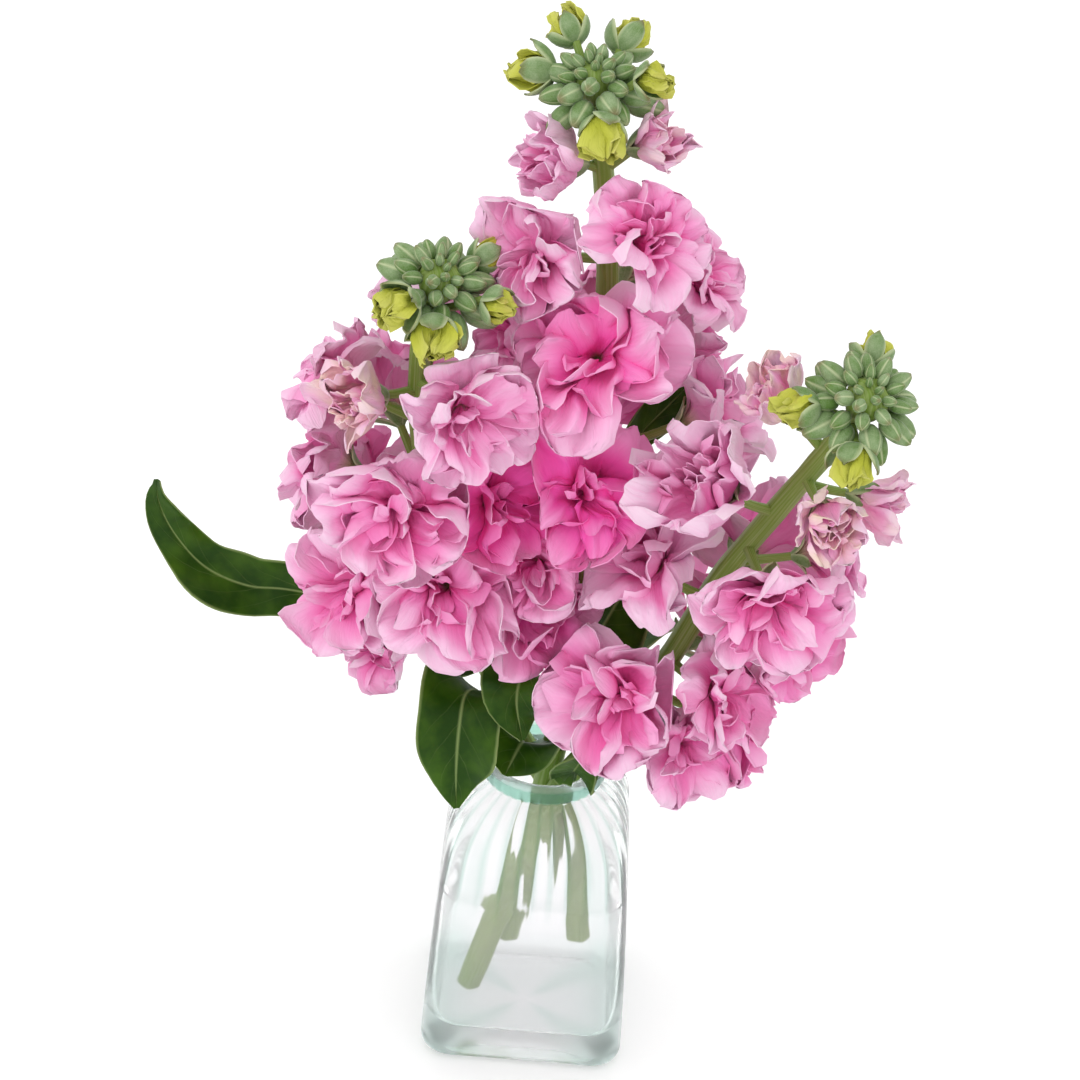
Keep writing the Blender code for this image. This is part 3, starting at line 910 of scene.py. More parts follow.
def stem_material():
    """Ribbed green stem with pale and brown streaks."""
    greens = bpy.context.scene.stock_greens
    material, tree, shader = new_material("stock_stem")
    around, along = surface_place(tree)
    streaks = noise(tree, vector_of(tree, around * 22.0, along * 30.0, 1.0), 1.0, 3.0)
    broad = noise(tree, vector_of(tree, around * 4.0, along * 24.0, 5.0), 1.0, 2.0)
    pale = colour_mix(
        tree, ((streaks - 0.42) * 2.6).clamp() * 0.7, greens.stem_green, greens.stem_light)
    brown = colour_mix(tree, ((broad - 0.52) * 2.4).clamp() * 0.40, pale, greens.stem_brown)
    plug(tree, shader.inputs["Base Color"], brown)
    set_sockets(
        shader, Roughness=0.5, Specular_IOR_Level=0.25, Sheen_Weight=0.05,
        Sheen_Roughness=0.4)
    add_bump(tree, shader, streaks, 0.3, 0.3 * MM)
    return material


def leaf_material():
    """Smooth dark leaf: pale midrib and edge, side veins, mottled green."""
    greens = bpy.context.scene.stock_greens
    material, tree, shader = new_material("stock_leaf")
    across, along = surface_place(tree)
    side = across * 2.0 - 1.0
    reach = side.abs()
    place = output(tree.nodes.new("ShaderNodeTexCoord"), "Object")
    mottle = noise(tree, place, 90.0, 3.0)
    fine = noise(tree, place, 900.0, 2.0)
    slant = along * 9.0 - reach * 1.9 + mottle * 0.5
    vein = (1.0 - ((slant * math.pi).sin().abs()) * 7.0).clamp() * (1.0 - reach).clamp()
    rib = (1.0 - reach * 16.0).clamp()
    edge = ((reach - 0.93) * 14.0).clamp()
    green = colour_mix(
        tree, ((mottle - 0.38) * 1.9).clamp(), greens.leaf_dark, greens.leaf_light)
    veined = colour_mix(tree, vein * 0.14, green, greens.leaf_rib)
    ribbed = colour_mix(tree, (rib * 0.75 + edge * 0.7).clamp(), veined, greens.leaf_rib)
    plug(tree, shader.inputs["Base Color"], ribbed)
    plug(tree, shader.inputs["Roughness"], fine * 0.18 + 0.26)
    set_sockets(shader, Specular_IOR_Level=0.14, Sheen_Weight=0.0)
    add_bump(tree, shader, fine * 0.25 - rib * 1.0 - vein * 0.5, 0.5, 0.35 * MM)
    return material


# lower than those of real glass and water, which bend what stands behind more
GLASS_IOR = 1.26
WATER_IOR = 1.07
# the share of the light that each surface lets through to what stands behind
GLASS_SHADOW = (0.92, 0.935, 0.94, 1.0)
WATER_SHADOW = (0.99, 0.995, 0.995, 1.0)


def glass_material():
    """Pale glass, teal where the lip, the flutes and the foot are thick."""
    glass = bpy.context.scene.stock_glass
    material, tree, shader = new_material("aqua_glass")
    tint = attribute(tree, "tint").clamp()
    colour = colour_mix(tree, tint, glass.clear, glass.teal)
    plug(tree, shader.inputs["Base Color"], colour)
    plug(tree, shader.inputs["Roughness"], tint * 0.18 + 0.10)
    set_sockets(shader, IOR=GLASS_IOR, Transmission_Weight=0.86)
    ends_as_clear_shadow(tree, shader, GLASS_SHADOW)
    return material


def water_material():
    """Nearly colourless still water."""
    material, tree, shader = new_material("still_water")
    set_sockets(
        shader, Base_Color=(0.98, 0.985, 0.985, 1.0), Roughness=0.0, IOR=WATER_IOR,
        Transmission_Weight=1.0)
    ends_as_clear_shadow(tree, shader, WATER_SHADOW)
    return material


def ends_as_clear_shadow(tree, shader, colour):
    """Let light through to what stands behind, as thin clear glass does."""
    rays = tree.nodes.new("ShaderNodeLightPath")
    clear = add_node(tree, "ShaderNodeBsdfTransparent", Color=colour)
    mixed = add_node(tree, "ShaderNodeMixShader")
    plug(tree, mixed.inputs[0], rays.outputs["Is Shadow Ray"])
    plug(tree, mixed.inputs[1], shader.outputs[0])
    plug(tree, mixed.inputs[2], clear.outputs[0])
    plug(tree, tree.nodes["Material Output"].inputs["Surface"], mixed.outputs[0])


# ------------------------------------------------------------------- flowers
# lean of the outermost and innermost petals at foot and tip, in degrees
OPEN_LEANS = (36, 114, 8, 30)
HALF_OPEN_LEANS = (60, 12, 24, -12)
OPEN_SEPAL_LEANS = (40, 62, 40, 62)
HALF_OPEN_SEPAL_LEANS = (52, -4, 52, -4)
BUD_SEPAL_LEANS = (84, -8, 84, -8)
BUD_PETAL_LEANS = (78, -62, 34, -30)
# how cream the half-open flowers still are
BLUSH = {
    "half_open_left_a": 0.9, "half_open_centre_b": 0.45, "half_open_right_b": 0.35,
    "half_open_right_c": 0.9, "half_open_right_d": 0.8,
}
# how deep a pink the florets are that differ from the rest, partly their own colour and partly
# painted shade on florets that lie deep among the others
DEEP_PINK_AND_SHADE = {
    "floret_centre_i": 1.0, "floret_centre_e": 0.5, "floret_centre_k": 0.9,
    "floret_left_f": 0.9, "floret_left_k": 0.6, "floret_right_d": 0.6,
    "floret_right_g": 0.5, "floret_right_i": 0.7, "floret_centre_h": 0.1,
    "floret_left_a": 0.05, "floret_left_c": 0.1, "floret_centre_a": 0.1,
    "floret_centre_b": 0.3, "floret_centre_c": 0.2, "floret_right_b": 0.1,
}
FLORET_DEEP = 0.25
HALF_OPEN_DEEP = 0.05
HALF_OPEN_PETALS = 14
# how far up its solid a flower's petals start, as a share of the solid's height
FLORET_LIFT = 0.15
HALF_OPEN_LIFT = 0.12
# every floret is tipped by this angle, each to another side, which turns by so
# many radians from one floret to the next
FLORET_TILT = math.radians(13)
TILT_TURN = 2.4
# what the four sepals of a flower or an opening bud have in common
FOUR_SEPALS = {
    "Petals": 4, "Spacing": math.tau / 4, "Inner Size": 1.0, "Throat": 0.9 * MM,
    "Ruffle": 0.05, "Crumple": 0.0, "Variety": 0.35,
}


def lean_values(leans):
    """The petal group's four lean inputs, from degrees."""
    labels = ("Outer Start", "Outer End", "Inner Start", "Inner End")
    return {label: math.radians(angle) for label, angle in zip(labels, leans)}


class STOCK_OT_flowers(Operator):
    """Grow the ruffled petals of each open and half-open flower over its solid"""

    bl_idname = "stock.flowers"
    bl_label = "Flowers"

    def execute(self, context):
        petals = context.scene.stock_petals
        tree = petal_tree("petals", PETAL_OUTLINE, PETAL_COLUMNS, PETAL_ROWS)
        material = petal_material("stock_petal", petals.blade, petals.edge, petals.shade)
        common = {"Ruffle": petals.ruffle, "Fold": petals.fold, "Material": material}
        sheets = {}
        for side in SIDES:
            search = stem_search(side)
            for number, node in enumerate(nodes_named("floret_" + side)):
                matrix, radius, height = grow_place(node, search)
                matrix = matrix @ Matrix.Translation((0, 0, height * FLORET_LIFT))
                turn = number * TILT_TURN
                matrix = matrix @ Matrix.Rotation(
                    FLORET_TILT, 4, (math.cos(turn), math.sin(turn), 0))
                sheets[node] = run_tree(tree, {
                    **lean_values(OPEN_LEANS),
                    **common,
                    "Petals": petals.count,
                    "Length": petals.length * radius,
                    "Half Width": petals.width * radius,
                    "Inner Size": 0.56,
                    "Throat": 0.03 * radius,
                    "Crumple": petals.crumple * radius,
                    "Deep": DEEP_PINK_AND_SHADE.get(node, FLORET_DEEP),
                    "Seed": 11 * number + 3 * len(side),
                }, matrix)
            for number, node in enumerate(nodes_named("half_open_" + side)):
                matrix, radius, height = grow_place(node, search)
                matrix = matrix @ Matrix.Translation((0, 0, height * HALF_OPEN_LIFT))
                sheets[node] = run_tree(tree, {
                    **lean_values(HALF_OPEN_LEANS),
                    **common,
                    "Petals": HALF_OPEN_PETALS,
                    "Length": 2.1 * radius,
                    "Half Width": 0.95 * radius,
                    "Inner Size": 0.70,
                    "Throat": 0.08 * radius,
                    "Crumple": petals.crumple * radius,
                    "Variety": 0.8,
                    "Deep": HALF_OPEN_DEEP,
                    "Blush": BLUSH.get(node, 0.0),
                    "Seed": 17 * number + 5 * len(side),
                }, matrix)
        balls = flower_balls()
        for node, sheet in sheets.items():
            press(sheet, node, balls)
        mark_hidden(list(sheets.values()))
        for node, sheet in sheets.items():
            add_piece("petals_" + node, finished(held(sheet), petals.thickness), [node])
        return {"FINISHED"}


class STOCK_OT_calyces(Operator):
    """Put four downy sepals under every flower"""

    bl_idname = "stock.calyces"
    bl_label = "Sepals"

    def execute(self, context):
        tree = petal_tree("sepals", SEPAL_OUTLINE, SEPAL_COLUMNS, SEPAL_ROWS)
        material = sepal_material()
        for side in SIDES:
            search = stem_search(side)
            made = []
            for label, leans, length, width in (
                    ("floret_", OPEN_SEPAL_LEANS, 0.62, 0.20),
                    ("half_open_", HALF_OPEN_SEPAL_LEANS, 1.15, 0.42)):
                for number, node in enumerate(nodes_named(label + side)):
                    matrix, radius = grow_place(node, search)[:2]
                    made.append(run_tree(tree, {
                        **lean_values(leans),
                        **FOUR_SEPALS,
                        "Length": length * radius,
                        "Half Width": width * radius,
                        "Fold": 1.5,
                        "Seed": 7 * number,
                        "Material": material,
                    }, matrix, 0.5 * MM))
            add_piece("sepals_" + side, joined(made))
        return {"FINISHED"}


# ---------------------------------------------------------------------- buds
BUD_INPUTS = [
    ("Buds", "NodeSocketInt", 26),
    ("Bud Length", "NodeSocketFloat", 0.006),
    ("Bud Radius", "NodeSocketFloat", 0.004),
    ("Spread", "NodeSocketFloat", 0.008),
    ("Smallest", "NodeSocketFloat", 0.4),
    ("Widest Tilt", "NodeSocketFloat", 1.8),
    ("Seed", "NodeSocketInt", 1),
    ("Material", "NodeSocketMaterial", None),
]
BUD_SEGMENTS = 24
BUD_RINGS = 14
# how far the lowest closed buds of a cluster lean from its stem
WIDEST_TILT = math.radians(116)
BUD_PETALS = 12
BUD_PETAL_EDGE = (0.72, 0.70, 0.22)
BUD_PETAL_SHADE = (0.36, 0.42, 0.03)
# radius of a closed bud along its length, from its foot to its tip
BUD_OUTLINE = [(0.0, 0.20), (0.10, 0.62), (0.34, 0.98), (0.58, 0.92), (0.82, 0.60), (1.0, 0.14)]


def bud_tree():
    """Closed four-seamed buds spaced over a dome by the golden angle."""
    tree, given = new_group("buds", BUD_INPUTS)
    seed = given["Seed"]
    ball = add_node(
        tree, "GeometryNodeMeshUVSphere", Segments=BUD_SEGMENTS, Rings=BUD_RINGS, Radius=1.0)
    x, y, z = parts_of(tree, output(tree.nodes.new("GeometryNodeInputPosition")))
    angle = y.math("ARCTAN2", x)
    along = z.math("ARCCOSINE") * (-1.0 / math.pi) + 1.0
    lobe = (angle * 2.0).sin().abs()
    wide = shaped(tree, along, BUD_OUTLINE) * (0.84 + (lobe ** 0.5) * 0.16)
    body = keep_uv(tree, ball.outputs[0], 1.0 - lobe * 0.5, along)
    body = add_node(
        tree, "GeometryNodeSetPosition", Geometry=body,
        Position=vector_of(tree, angle.cos() * wide, angle.sin() * wide, along * 2.0))

    line = add_node(tree, "GeometryNodeMeshLine", Count=given["Buds"], Offset=(0.0, 0.0, 0.0))
    index = output(tree.nodes.new("GeometryNodeInputIndex"))
    share = ((index + 0.4) / given["Buds"]) ** 0.5
    chance = [random_share(tree, -1.0, 1.0, index, seed + number) for number in range(4)]
    tilt = share * given["Widest Tilt"] + chance[0] * 0.07
    turn = index * GOLDEN_ANGLE + chance[1] * 0.12
    size = given["Smallest"].towards(1.0, share ** 1.6) * (1.0 + chance[2] * 0.14)
    way = vector_of(tree, tilt.sin() * turn.cos(), tilt.sin() * turn.sin(), tilt.cos())
    reach = given["Spread"] * (0.45 + share * 0.55)
    drop = (share ** 3.0) * given["Spread"] * -0.55
    foot = add_node(
        tree, "GeometryNodeSetPosition", Geometry=line.outputs[0],
        Position=vector_of(
            tree, tilt.sin() * turn.cos() * reach, tilt.sin() * turn.sin() * reach,
            tilt.cos() * reach + drop))
    aim = add_node(tree, "FunctionNodeAlignRotationToVector", {"axis": "Z"}, Vector=way)
    spun = add_node(
        tree, "FunctionNodeRotateRotation", {"rotation_space": "LOCAL"},
        Rotation=output(aim), Rotate_By=vector_of(tree, 0.0, 0.0, chance[3] * 3.0))
    copies = add_node(
        tree, "GeometryNodeInstanceOnPoints", Points=foot.outputs[0], Instance=body.outputs[0],
        Rotation=output(spun),
        Scale=vector_of(
            tree, given["Bud Radius"] * size, given["Bud Radius"] * size,
            given["Bud Length"] * size))
    toned = keep_attribute(tree, copies.outputs[0], "tone", chance[2] * 0.5 + 0.5, "INSTANCE")
    finish_group(tree, toned, given["Material"])
    return tree


def cluster_base(side):
    """The middle of a stem's bud cluster, and the way the stem points there."""
    tip, up = point_below_tip(smooth_path(STEM_POINTS[side], COARSE_STEPS), 0.0)
    return tip + up * CLUSTER_LIFT[side] * MM, up


def opening_places(side):
    """Middle, outward direction and radius of each opening bud."""
    base, up = cluster_base(side)
    for bearing, angle, reach, radius in OPENING_BUDS[side]:
        tilt = math.radians(angle)
        way = bearing_out(bearing, up) * math.sin(tilt) + up * math.cos(tilt)
        yield base + way * reach * MM, way, radius * MM


class STOCK_OT_buds(Operator):
    """Grow the closed buds of each cluster, and the sepals and petals of its opening ones"""

    bl_idname = "stock.buds"
    bl_label = "Buds"

    def execute(self, context):
        buds = context.scene.stock_buds
        petals = context.scene.stock_petals
        closed = bud_tree()
        sepals = bpy.data.node_groups["sepals"]
        inner = petal_tree(
            "bud petals", PETAL_OUTLINE, BUD_PETAL_COLUMNS, BUD_PETAL_ROWS)
        green = bpy.data.materials["stock_sepal"]
        yellow = petal_material(
            "stock_bud_petal", petals.bud_yellow, BUD_PETAL_EDGE, BUD_PETAL_SHADE)
        for side in SIDES:
            made = [run_tree(closed, {
                "Buds": buds.count,
                "Bud Length": buds.length,
                "Bud Radius": buds.radius,
                "Spread": buds.spread,
                "Smallest": buds.smallest,
                "Widest Tilt": WIDEST_TILT,
                "Seed": 2 * len(side),
                "Material": green,
            }, facing_matrix(*cluster_base(side)))]
            opening = []
            for number, (middle, way, radius) in enumerate(opening_places(side)):
                place = facing_matrix(middle - way * radius * 0.95, way)
                made.append(run_tree(sepals, {
                    **lean_values(BUD_SEPAL_LEANS),
                    **FOUR_SEPALS,
                    "Length": 1.85 * radius,
                    "Half Width": 0.84 * radius,
                    "Fold": 1.9,
                    "Seed": 5 * number,
                    "Material": green,
                }, place, 0.55 * MM))
                opening.append(run_tree(inner, {
                    **lean_values(BUD_PETAL_LEANS),
                    "Petals": BUD_PETALS,
                    "Length": 2.45 * radius,
                    "Half Width": 0.86 * radius,
                    "Inner Size": 0.80,
                    "Throat": 0.4 * MM,
                    "Fold": 1.0,
                    "Ruffle": 0.42,
                    "Crumple": 0.40 * radius,
                    "Variety": 1.0,
                    "Seed": 13 * number + len(side),
                    "Material": yellow,
                }, place, 0.3 * MM))
            add_piece("buds_" + side, joined(made), ["bud_cluster_" + side])
            add_piece("bud_petals_" + side, joined(opening))
        return {"FINISHED"}


# --------------------------------------------------------------------- stems
STEM_INPUTS = [
    ("Sides", "NodeSocketInt", 20),
    ("Ridges", "NodeSocketFloat", 5.0),
    ("Ridge Depth", "NodeSocketFloat", 0.05),
    ("Material", "NodeSocketMaterial", None),
]
# rise from the middle of the bud cluster, and radius, of the stem's swollen end, mm
KNOB = [(-8, 3.4), (-5, 5.4), (-1, 6.6), (2, 6.2), (4.5, 4.0)]
# how far a stalk's middle is pulled down, in tenths of its length, and its radius
# at the stem and at the flower or the bud, mm
FLOWER_STALK = (0.6, 2.0, 1.35)
BUD_STALK = (0.4, 1.5, 1.25)
STALK_STEPS = 8
# how far below the middle of the bud cluster the stem's line ends, and the
# opening buds' stalks start, mm
STEM_END = 2
BUD_STALK_START = 9
# how far a stalk reaches into its flower, mm
STALK_OVERLAP = 1.2


def stem_tree():
    """Ribbed tubes along polylines, as thick as their points say."""
    tree, given = new_group("stems", STEM_INPUTS)
    curves = add_node(tree, "GeometryNodeMeshToCurve", Mesh=given["Geometry"])
    travelled = output(tree.nodes.new("GeometryNodeSplineParameter"), "Length")
    measured = keep_attribute(tree, curves.outputs[0], "along", travelled)
    circle = add_node(
        tree, "GeometryNodeCurvePrimitiveCircle", {"mode": "RADIUS"},
        Resolution=given["Sides"], Radius=1.0)
    index = output(tree.nodes.new("GeometryNodeInputIndex"))
    ring = keep_attribute(tree, circle.outputs[0], "around", index / given["Sides"])
    tube = add_node(
        tree, "GeometryNodeCurveToMesh", Curve=measured, Profile_Curve=ring,
        Scale=read_attribute(tree, "thickness"), Fill_Caps=True)
    around = read_attribute(tree, "around")
    along = read_attribute(tree, "along")
    ridge = (around * given["Ridges"] * math.tau + along * 25.0).sin() * given["Ridge Depth"]
    swell = (noise(tree, vector_of(tree, along * 60.0, around * 0.0, 2.0)) - 0.5) * 0.25
    normal = output(tree.nodes.new("GeometryNodeInputNormal"))
    push = (ridge + swell) * read_attribute(tree, "thickness")
    offset = vector_math(tree, "SCALE", normal, push)
    moved = add_node(
        tree, "GeometryNodeSetPosition", Geometry=tube.outputs[0], Offset=offset)
    mirrored = (around - 0.5).abs() * 2.0
    mapped = keep_uv(tree, moved.outputs[0], mirrored, along)
    finish_group(tree, mapped, given["Material"])
    return tree


def line_mesh(lines):
    """Polylines of (point, radius) as a mesh of edges with a thickness for each point."""
    points = []
    edges = []
    radii = []
    for line in lines:
        first = len(points)
        points += [tuple(point) for point, radius in line]
        radii += [radius for point, radius in line]
        edges += [(first + step, first + step + 1) for step in range(len(line) - 1)]
    mesh = bpy.data.meshes.new("lines")
    mesh.from_pydata(points, edges, [])
    store(mesh, "thickness", radii)
    return mesh


def nearest_on(path, place):
    """The path's point that is nearest to a place."""
    return min(path, key=lambda point: (point - place).length)


def stalk_line(start, end, up, droop, thick, thin):
    """A stalk from a stem to its flower or bud, sagging a little between them."""
    bend = start.lerp(end, 0.5) - up * droop * (end - start).length * 0.10
    thick *= MM
    thin *= MM
    line = []
    for step in range(STALK_STEPS + 1):
        t = step / STALK_STEPS
        point = start * (1 - t) ** 2 + bend * 2 * t * (1 - t) + end * t ** 2
        radius = thin + (thick - thin) * (1 - t) ** 2
        line.append((point, radius))
    return line


class STOCK_OT_stems(Operator):
    """Draw the stems with their flower stalks"""

    bl_idname = "stock.stems"
    bl_label = "Stems"

    def execute(self, context):
        tree = stem_tree()
        material = stem_material()
        for side in SIDES:
            search = stem_search(side)
            path = smooth_path(STEM_POINTS[side], STEM_STEPS)
            base, up = cluster_base(side)
            path.append(base - up * STEM_END * MM)
            main = []
            for index, point in enumerate(path):
                share = index / (len(path) - 1)
                radius = STEM_FOOT_RADIUS + (STEM_TIP_RADIUS - STEM_FOOT_RADIUS) * share
                main.append((point, radius * MM))
            lines = [main, [(base + up * rise * MM, wide * MM) for rise, wide in KNOB]]
            for node in nodes_named("floret_" + side) + nodes_named("half_open_" + side):
                matrix = grow_place(node, search)[0]
                foot = matrix.translation
                low = nearest_on(path, foot - up * (foot - nearest_on(path, foot)).length * 0.5)
                end = foot + (matrix.to_3x3() @ UP) * STALK_OVERLAP * MM
                lines.append(stalk_line(low, end, up, *FLOWER_STALK))
            for middle, way, radius in opening_places(side):
                start = nearest_on(path, base - up * BUD_STALK_START * MM)
                end = middle - way * radius * 0.9
                lines.append(stalk_line(start, end, up, *BUD_STALK))
            mesh = run_tree(tree, {"Material": material}, source=line_mesh(lines))
            add_piece("stalks_" + side, mesh, ["stem_" + side])
        return {"FINISHED"}


# -------------------------------------------------------------------- leaves
LEAF_COLUMNS = 17
LEAF_ROWS = 56
# from the stem's axis to the start of a leaf, and a leaf's least half width, mm
LEAF_ROOT = 2.5
LEAF_LEAST = 1.1
# how far the sides rise and the edge waves, as shares of the half width
LEAF_CUP = 0.33
LEAF_RIPPLE = 0.36
LEAF_FINE_RIPPLE = 0.13
# depth of the groove over the midrib in mm, its width over the half width, and
# the half width in mm under which it is shallower
RIB_DEPTH = 0.35
RIB_WIDTH = 0.07
RIB_FULL = 5
# a leaf's edge waves through this many radians, and one more for each such length
LEAF_WAVES = 3.0
LEAF_WAVE_LENGTH = 14 * MM


def on_stem(side, below_tip, bearing):
    """A place on a stem's axis and the way out of it."""
    path = smooth_path(STEM_POINTS[side], COARSE_STEPS)
    place, up = point_below_tip(path, below_tip * MM)
    return place, bearing_out(bearing, up)


def leaf_sheet(points, width, face, phase, waves):
    """A tapering blade along its centre line, folded at the midrib, wavy at the edge."""
    path = smooth_path(points, LEAF_STEPS)
    length = path_length(path)
    verts = []
    mapped = []
    for row in range(LEAF_ROWS):
        share = row / (LEAF_ROWS - 1)
        place, back = point_below_tip(path, length * (1.0 - share))
        across = back.cross(Vector(face)).normalized()
        lift = across.cross(back)
        half = max(width / 2 * math.sin(math.pi * share ** 1.15) ** 0.7, LEAF_LEAST) * MM
        half *= 1.0 + 0.07 * math.sin(waves * share * 1.7 + phase)
        for column in range(LEAF_COLUMNS):
            edge = 2 * column / (LEAF_COLUMNS - 1) - 1
            ripple = math.sin(waves * share + phase + 0.8 * edge) * edge ** 2 * LEAF_RIPPLE
            fine = math.sin(2.3 * waves * share + 2 * phase)
            ripple += fine * abs(edge) ** 3 * LEAF_FINE_RIPPLE
            rise = abs(edge) ** 1.3 * LEAF_CUP + ripple
            rib = -RIB_DEPTH * MM * math.exp(-(edge / RIB_WIDTH) ** 2)
            rib *= min(half / (RIB_FULL * MM), 1.0)
            verts.append(place + across * edge * half * 0.97 + lift * (half * rise + rib))
            mapped.append((edge * 0.5 + 0.5, share))
    faces = []
    for row in range(LEAF_ROWS - 1):
        for column in range(LEAF_COLUMNS - 1):
            corner = row * LEAF_COLUMNS + column
            faces.append((corner, corner + 1, corner + 1 + LEAF_COLUMNS, corner + LEAF_COLUMNS))
    mesh = bpy.data.meshes.new("leaf")
    mesh.from_pydata([tuple(vert) for vert in verts], [], faces)
    layer = mesh.uv_layers.new(name="UVMap")
    for loop in mesh.loops:
        layer.data[loop.index].uv = mapped[loop.vertex_index]
    return mesh


class STOCK_OT_leaves(Operator):
    """Shape each leaf along its centre line"""

    bl_idname = "stock.leaves"
    bl_label = "Leaves"

    def execute(self, context):
        greens = context.scene.stock_greens
        material = leaf_material()
        for number, (node, growth) in enumerate(LEAVES.items()):
            side, below_tip, bearing, points, width, face = growth
            axis, outward = on_stem(side, below_tip, bearing)
            root = (axis + outward * LEAF_ROOT * MM) / MM
            length = path_length(smooth_path([root, *points], COARSE_STEPS))
            waves = LEAF_WAVES + length / LEAF_WAVE_LENGTH
            sheet = leaf_sheet([root, *points], width, face, number * 1.9, waves)
            sheet.materials.append(material)
            mesh = finished(held(sheet), greens.leaf_thickness)
            add_piece("blade_" + node, mesh, [node])
        return {"FINISHED"}


# --------------------------------------------------------------- vase, water
def square_reach(half_width, corner, angle):
    """Distance from the middle of a rounded square to its edge at an angle."""
    across = abs(math.cos(angle))
    along = abs(math.sin(angle))
    high, low = max(across, along), min(across, along)
    flat = half_width - corner
    if half_width * low / high <= flat:
        return half_width / high
    middle = flat * (high + low)
    return middle + math.sqrt(max(middle ** 2 - 2 * flat ** 2 + corner ** 2, 0.0))


def smooth_rows(rows, steps):
    """More (height, width, corner) rows on a smooth curve through the given ones."""
    return [tuple(row / MM) for row in smooth_path(rows, steps)]


def turned_square(rows, shapes, name):
    """A closed body of rounded-square rings; a row's shape gives its push and tint."""
    verts = [(0.0, 0.0, rows[0][0] * MM)]
    tints = [0.0]
    for (height, width, corner), shape in zip(rows, shapes):
        for side in range(VASE_SIDES):
            angle = math.tau * side / VASE_SIDES
            push, tint = shape(height, angle)
            reach = (square_reach(width, min(corner, width), angle) + push) * MM
            verts.append((math.cos(angle) * reach, math.sin(angle) * reach, height * MM))
            tints.append(tint)
    verts.append((0.0, 0.0, rows[-1][0] * MM))
    tints.append(0.0)
    faces = []
    for side in range(VASE_SIDES):
        after = (side + 1) % VASE_SIDES
        faces.append((0, 1 + after, 1 + side))
        last = 1 + (len(rows) - 1) * VASE_SIDES
        faces.append((len(verts) - 1, last + side, last + after))
        for row in range(len(rows) - 1):
            low = 1 + row * VASE_SIDES
            high = low + VASE_SIDES
            faces.append((low + side, low + after, high + after, high + side))
    mesh = bpy.data.meshes.new(name)
    mesh.from_pydata(verts, [], faces)
    store(mesh, "tint", tints)
    mesh.shade_smooth()
    return mesh


def bell(value, low, high, fade):
    """1 between low and high, falling smoothly to 0 over the fade on either side."""
    away = max(low - value, value - high, 0.0) / fade
    return math.cos(min(away, 1.0) * math.pi / 2) ** 2


class STOCK_OT_vase(Operator):
    """Turn the square vase with its fluted shoulder, and fill it with water"""

    bl_idname = "stock.vase"
    bl_label = "Vase and water"

    def execute(self, context):
        glass = context.scene.stock_glass
        depth = glass.flute_depth / MM
        outside = smooth_rows(VASE_OUTSIDE, VASE_STEPS)
        inside = smooth_rows(VASE_INSIDE, VASE_STEPS)

        def moulded(height, angle):
            """Push and tint of the outside, with its lip, flutes and foot."""
            lip = bell(height, *LIP_BAND)
            groove = (0.5 + 0.5 * math.cos(glass.flutes * angle)) ** 4
            groove *= bell(height, *FLUTE_BAND)
            foot = bell(height, *FOOT_BAND) * FOOT_TINT
            corner = abs(math.sin(2 * angle)) ** 8 * bell(height, *CORNER_BAND) * CORNER_TINT
            return -groove * depth, min(lip + groove * FLUTE_TINT + foot + corner, 1.0)

        def plain(height, angle):
            """Push and tint of the inside and of the water, the same all round."""
            return 0.0, bell(height, *LIP_BAND_INSIDE)

        shapes = [moulded] * len(outside) + [plain] * len(inside)
        mesh = turned_square(outside + inside, shapes, "vase_glass")
        mesh.materials.append(glass_material())
        add_piece("vase_glass", mesh, ["vase"])

        wet = [row for row in inside[::-1] if row[0] < WATER_LEVEL]
        dry = [row for row in inside[::-1] if row[0] >= WATER_LEVEL][0]
        share = (WATER_LEVEL - wet[-1][0]) / (dry[0] - wet[-1][0])
        edge = [low + (high - low) * share for low, high in zip(wet[-1], dry)]
        rows = [(height, width + WATER_OVERLAP, corner) for height, width, corner in wet]
        rows[0] = (rows[0][0] - WATER_OVERLAP, *rows[0][1:])
        rows += [
            (WATER_LEVEL + WATER_CLIMB, edge[1] + WATER_OVERLAP, edge[2]),
            (WATER_LEVEL, edge[1] - WATER_CLIMB_WIDTH, edge[2]),
            (WATER_LEVEL, *WATER_MIDDLE),
        ]
        water = turned_square(rows, [plain] * len(rows), "vase_water")
        water.materials.append(water_material())
        add_piece("vase_water", water, ["water"])
        return {"FINISHED"}


# --------------------------------------------------------------------- stage
CAMERA_AIM = Vector((-0.0076, 0.0, 0.1976))
CAMERA_LENS = 103.0
WINDOW_PLACE = Vector((-0.8, -1.0, 1.15))
WINDOW_SIZE = 1.8
FLOOR_SIZE = 6.0
# how much more of the floor's glow shows where it is seen through the glass
GLOW_THROUGH_GLASS = 2.4


def stage_seen(tree, through_glass):
    """1 for rays from the camera or a reflection, the given number for those through
    glass, and 0 for the rest."""
    rays = tree.nodes.new("ShaderNodeLightPath")
    through = output(rays, "Is Transmission Ray") * through_glass
    seen = output(rays, "Is Camera Ray").math("MAXIMUM", through)
    return seen.math("MAXIMUM", output(rays, "Is Glossy Ray"))


def floor_material(glow):
    """White floor that shows a little extra light but keeps its shadows."""
    material, tree, shader = new_material("white_floor")
    set_sockets(shader, Base_Color=(0.9, 0.9, 0.9, 1.0), Roughness=0.9, Specular_IOR_Level=0.1)
    strength = stage_seen(tree, GLOW_THROUGH_GLASS) * glow
    light = add_node(tree, "ShaderNodeEmission", Color=(1.0, 1.0, 1.0, 1.0), Strength=strength)
    both = add_node(tree, "ShaderNodeAddShader")
    plug(tree, both.inputs[0], shader.outputs[0])
    plug(tree, both.inputs[1], light.outputs[0])
    plug(tree, tree.nodes["Material Output"].inputs["Surface"], both.outputs[0])
    return material


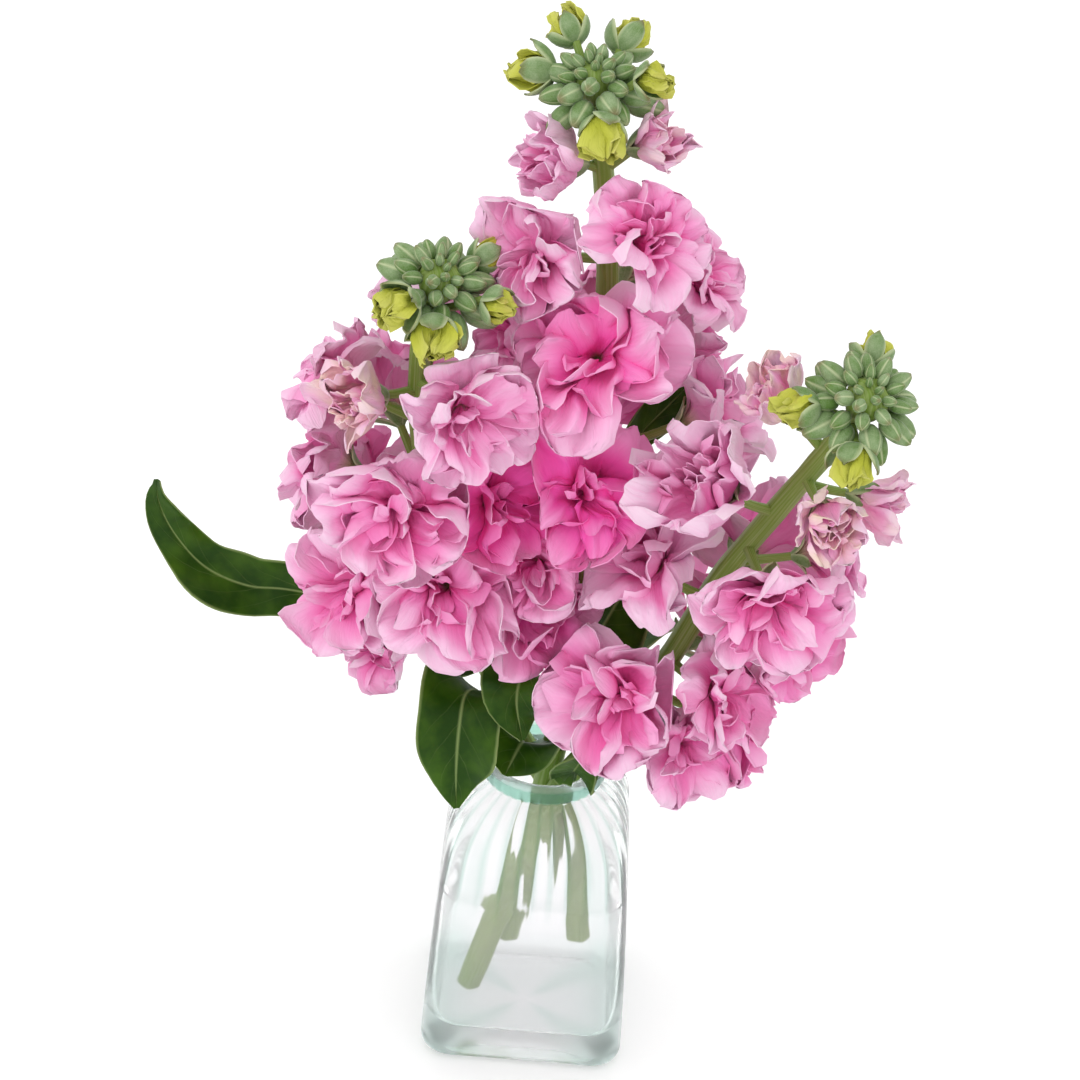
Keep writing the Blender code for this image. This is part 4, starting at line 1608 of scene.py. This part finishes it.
class STOCK_OT_stage(Operator):
    """Lay a white floor and set the lamp, the world and the camera"""

    bl_idname = "stock.stage"
    bl_label = "Stage"

    def execute(self, context):
        scene = context.scene
        stage = scene.stock_stage
        bpy.ops.mesh.primitive_plane_add(size=FLOOR_SIZE, location=(0, 0, 0))
        floor = context.object
        floor.name = "floor"
        floor.data.materials.append(floor_material(stage.glow))

        world = bpy.data.worlds.new("white_room")
        world.use_nodes = True
        tree = world.node_tree
        seen = stage_seen(tree, 1.0)
        background = tree.nodes["Background"]
        background.inputs["Color"].default_value = (1, 1, 1, 1)
        plug(tree, background.inputs["Strength"], seen * (1.0 - stage.daylight) + stage.daylight)
        scene.world = world

        lamp = bpy.data.lights.new("window", "AREA")
        lamp.shape = "DISK"
        lamp.size = WINDOW_SIZE
        lamp.energy = stage.window
        window = bpy.data.objects.new("window", lamp)
        window.location = WINDOW_PLACE
        window.rotation_euler = (CAMERA_AIM - WINDOW_PLACE).to_track_quat("-Z", "Y").to_euler()
        scene.collection.objects.link(window)

        lens = bpy.data.cameras.new("camera")
        lens.lens = CAMERA_LENS
        camera = bpy.data.objects.new("camera", lens)
        scene.collection.objects.link(camera)
        away = Vector((0, -math.cos(stage.elevation), math.sin(stage.elevation)))
        camera.location = CAMERA_AIM + stage.distance * away
        tilt = Matrix.Rotation(math.pi / 2 - stage.elevation, 3, "X")
        camera.rotation_euler = (tilt @ Matrix.Rotation(stage.roll, 3, "Z")).to_euler()
        scene.camera = camera
        scene.view_settings.view_transform = "Standard"
        return {"FINISHED"}


PROPERTY_GROUPS = {
    "stock_petals": StockPetalSettings,
    "stock_buds": StockBudSettings,
    "stock_greens": StockGreenSettings,
    "stock_glass": StockGlassSettings,
    "stock_stage": StockStageSettings,
}
OPERATORS = [
    STOCK_OT_flowers, STOCK_OT_calyces, STOCK_OT_buds,
    STOCK_OT_stems, STOCK_OT_leaves, STOCK_OT_vase, STOCK_OT_stage,
]


class STOCK_PT_panel(Panel):
    """Sidebar panel that lists the pieces"""

    bl_label = "Stock flowers"
    bl_idname = "STOCK_PT_panel"
    bl_space_type = "VIEW_3D"
    bl_region_type = "UI"
    bl_category = "Stock"

    def draw(self, context):
        for operator in OPERATORS:
            self.layout.operator(operator.bl_idname)
        for name in PROPERTY_GROUPS:
            box = self.layout.box()
            settings = getattr(context.scene, name)
            for key in settings.__annotations__:
                box.prop(settings, key)


CLASSES = [*PROPERTY_GROUPS.values(), *OPERATORS, STOCK_PT_panel]


def register():
    """Add the classes, and the settings to the scene."""
    for made in CLASSES:
        bpy.utils.register_class(made)
    for name, group in PROPERTY_GROUPS.items():
        setattr(bpy.types.Scene, name, PointerProperty(type=group))


def unregister():
    """Take the settings and the classes away again."""
    for name in PROPERTY_GROUPS:
        delattr(bpy.types.Scene, name)
    for made in reversed(CLASSES):
        bpy.utils.unregister_class(made)


def main():
    """Build every piece and the stage."""
    register()
    for operator in OPERATORS:
        group, name = operator.bl_idname.split(".")
        getattr(getattr(bpy.ops, group), name)()
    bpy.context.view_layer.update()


if __name__ == "__main__":
    main()
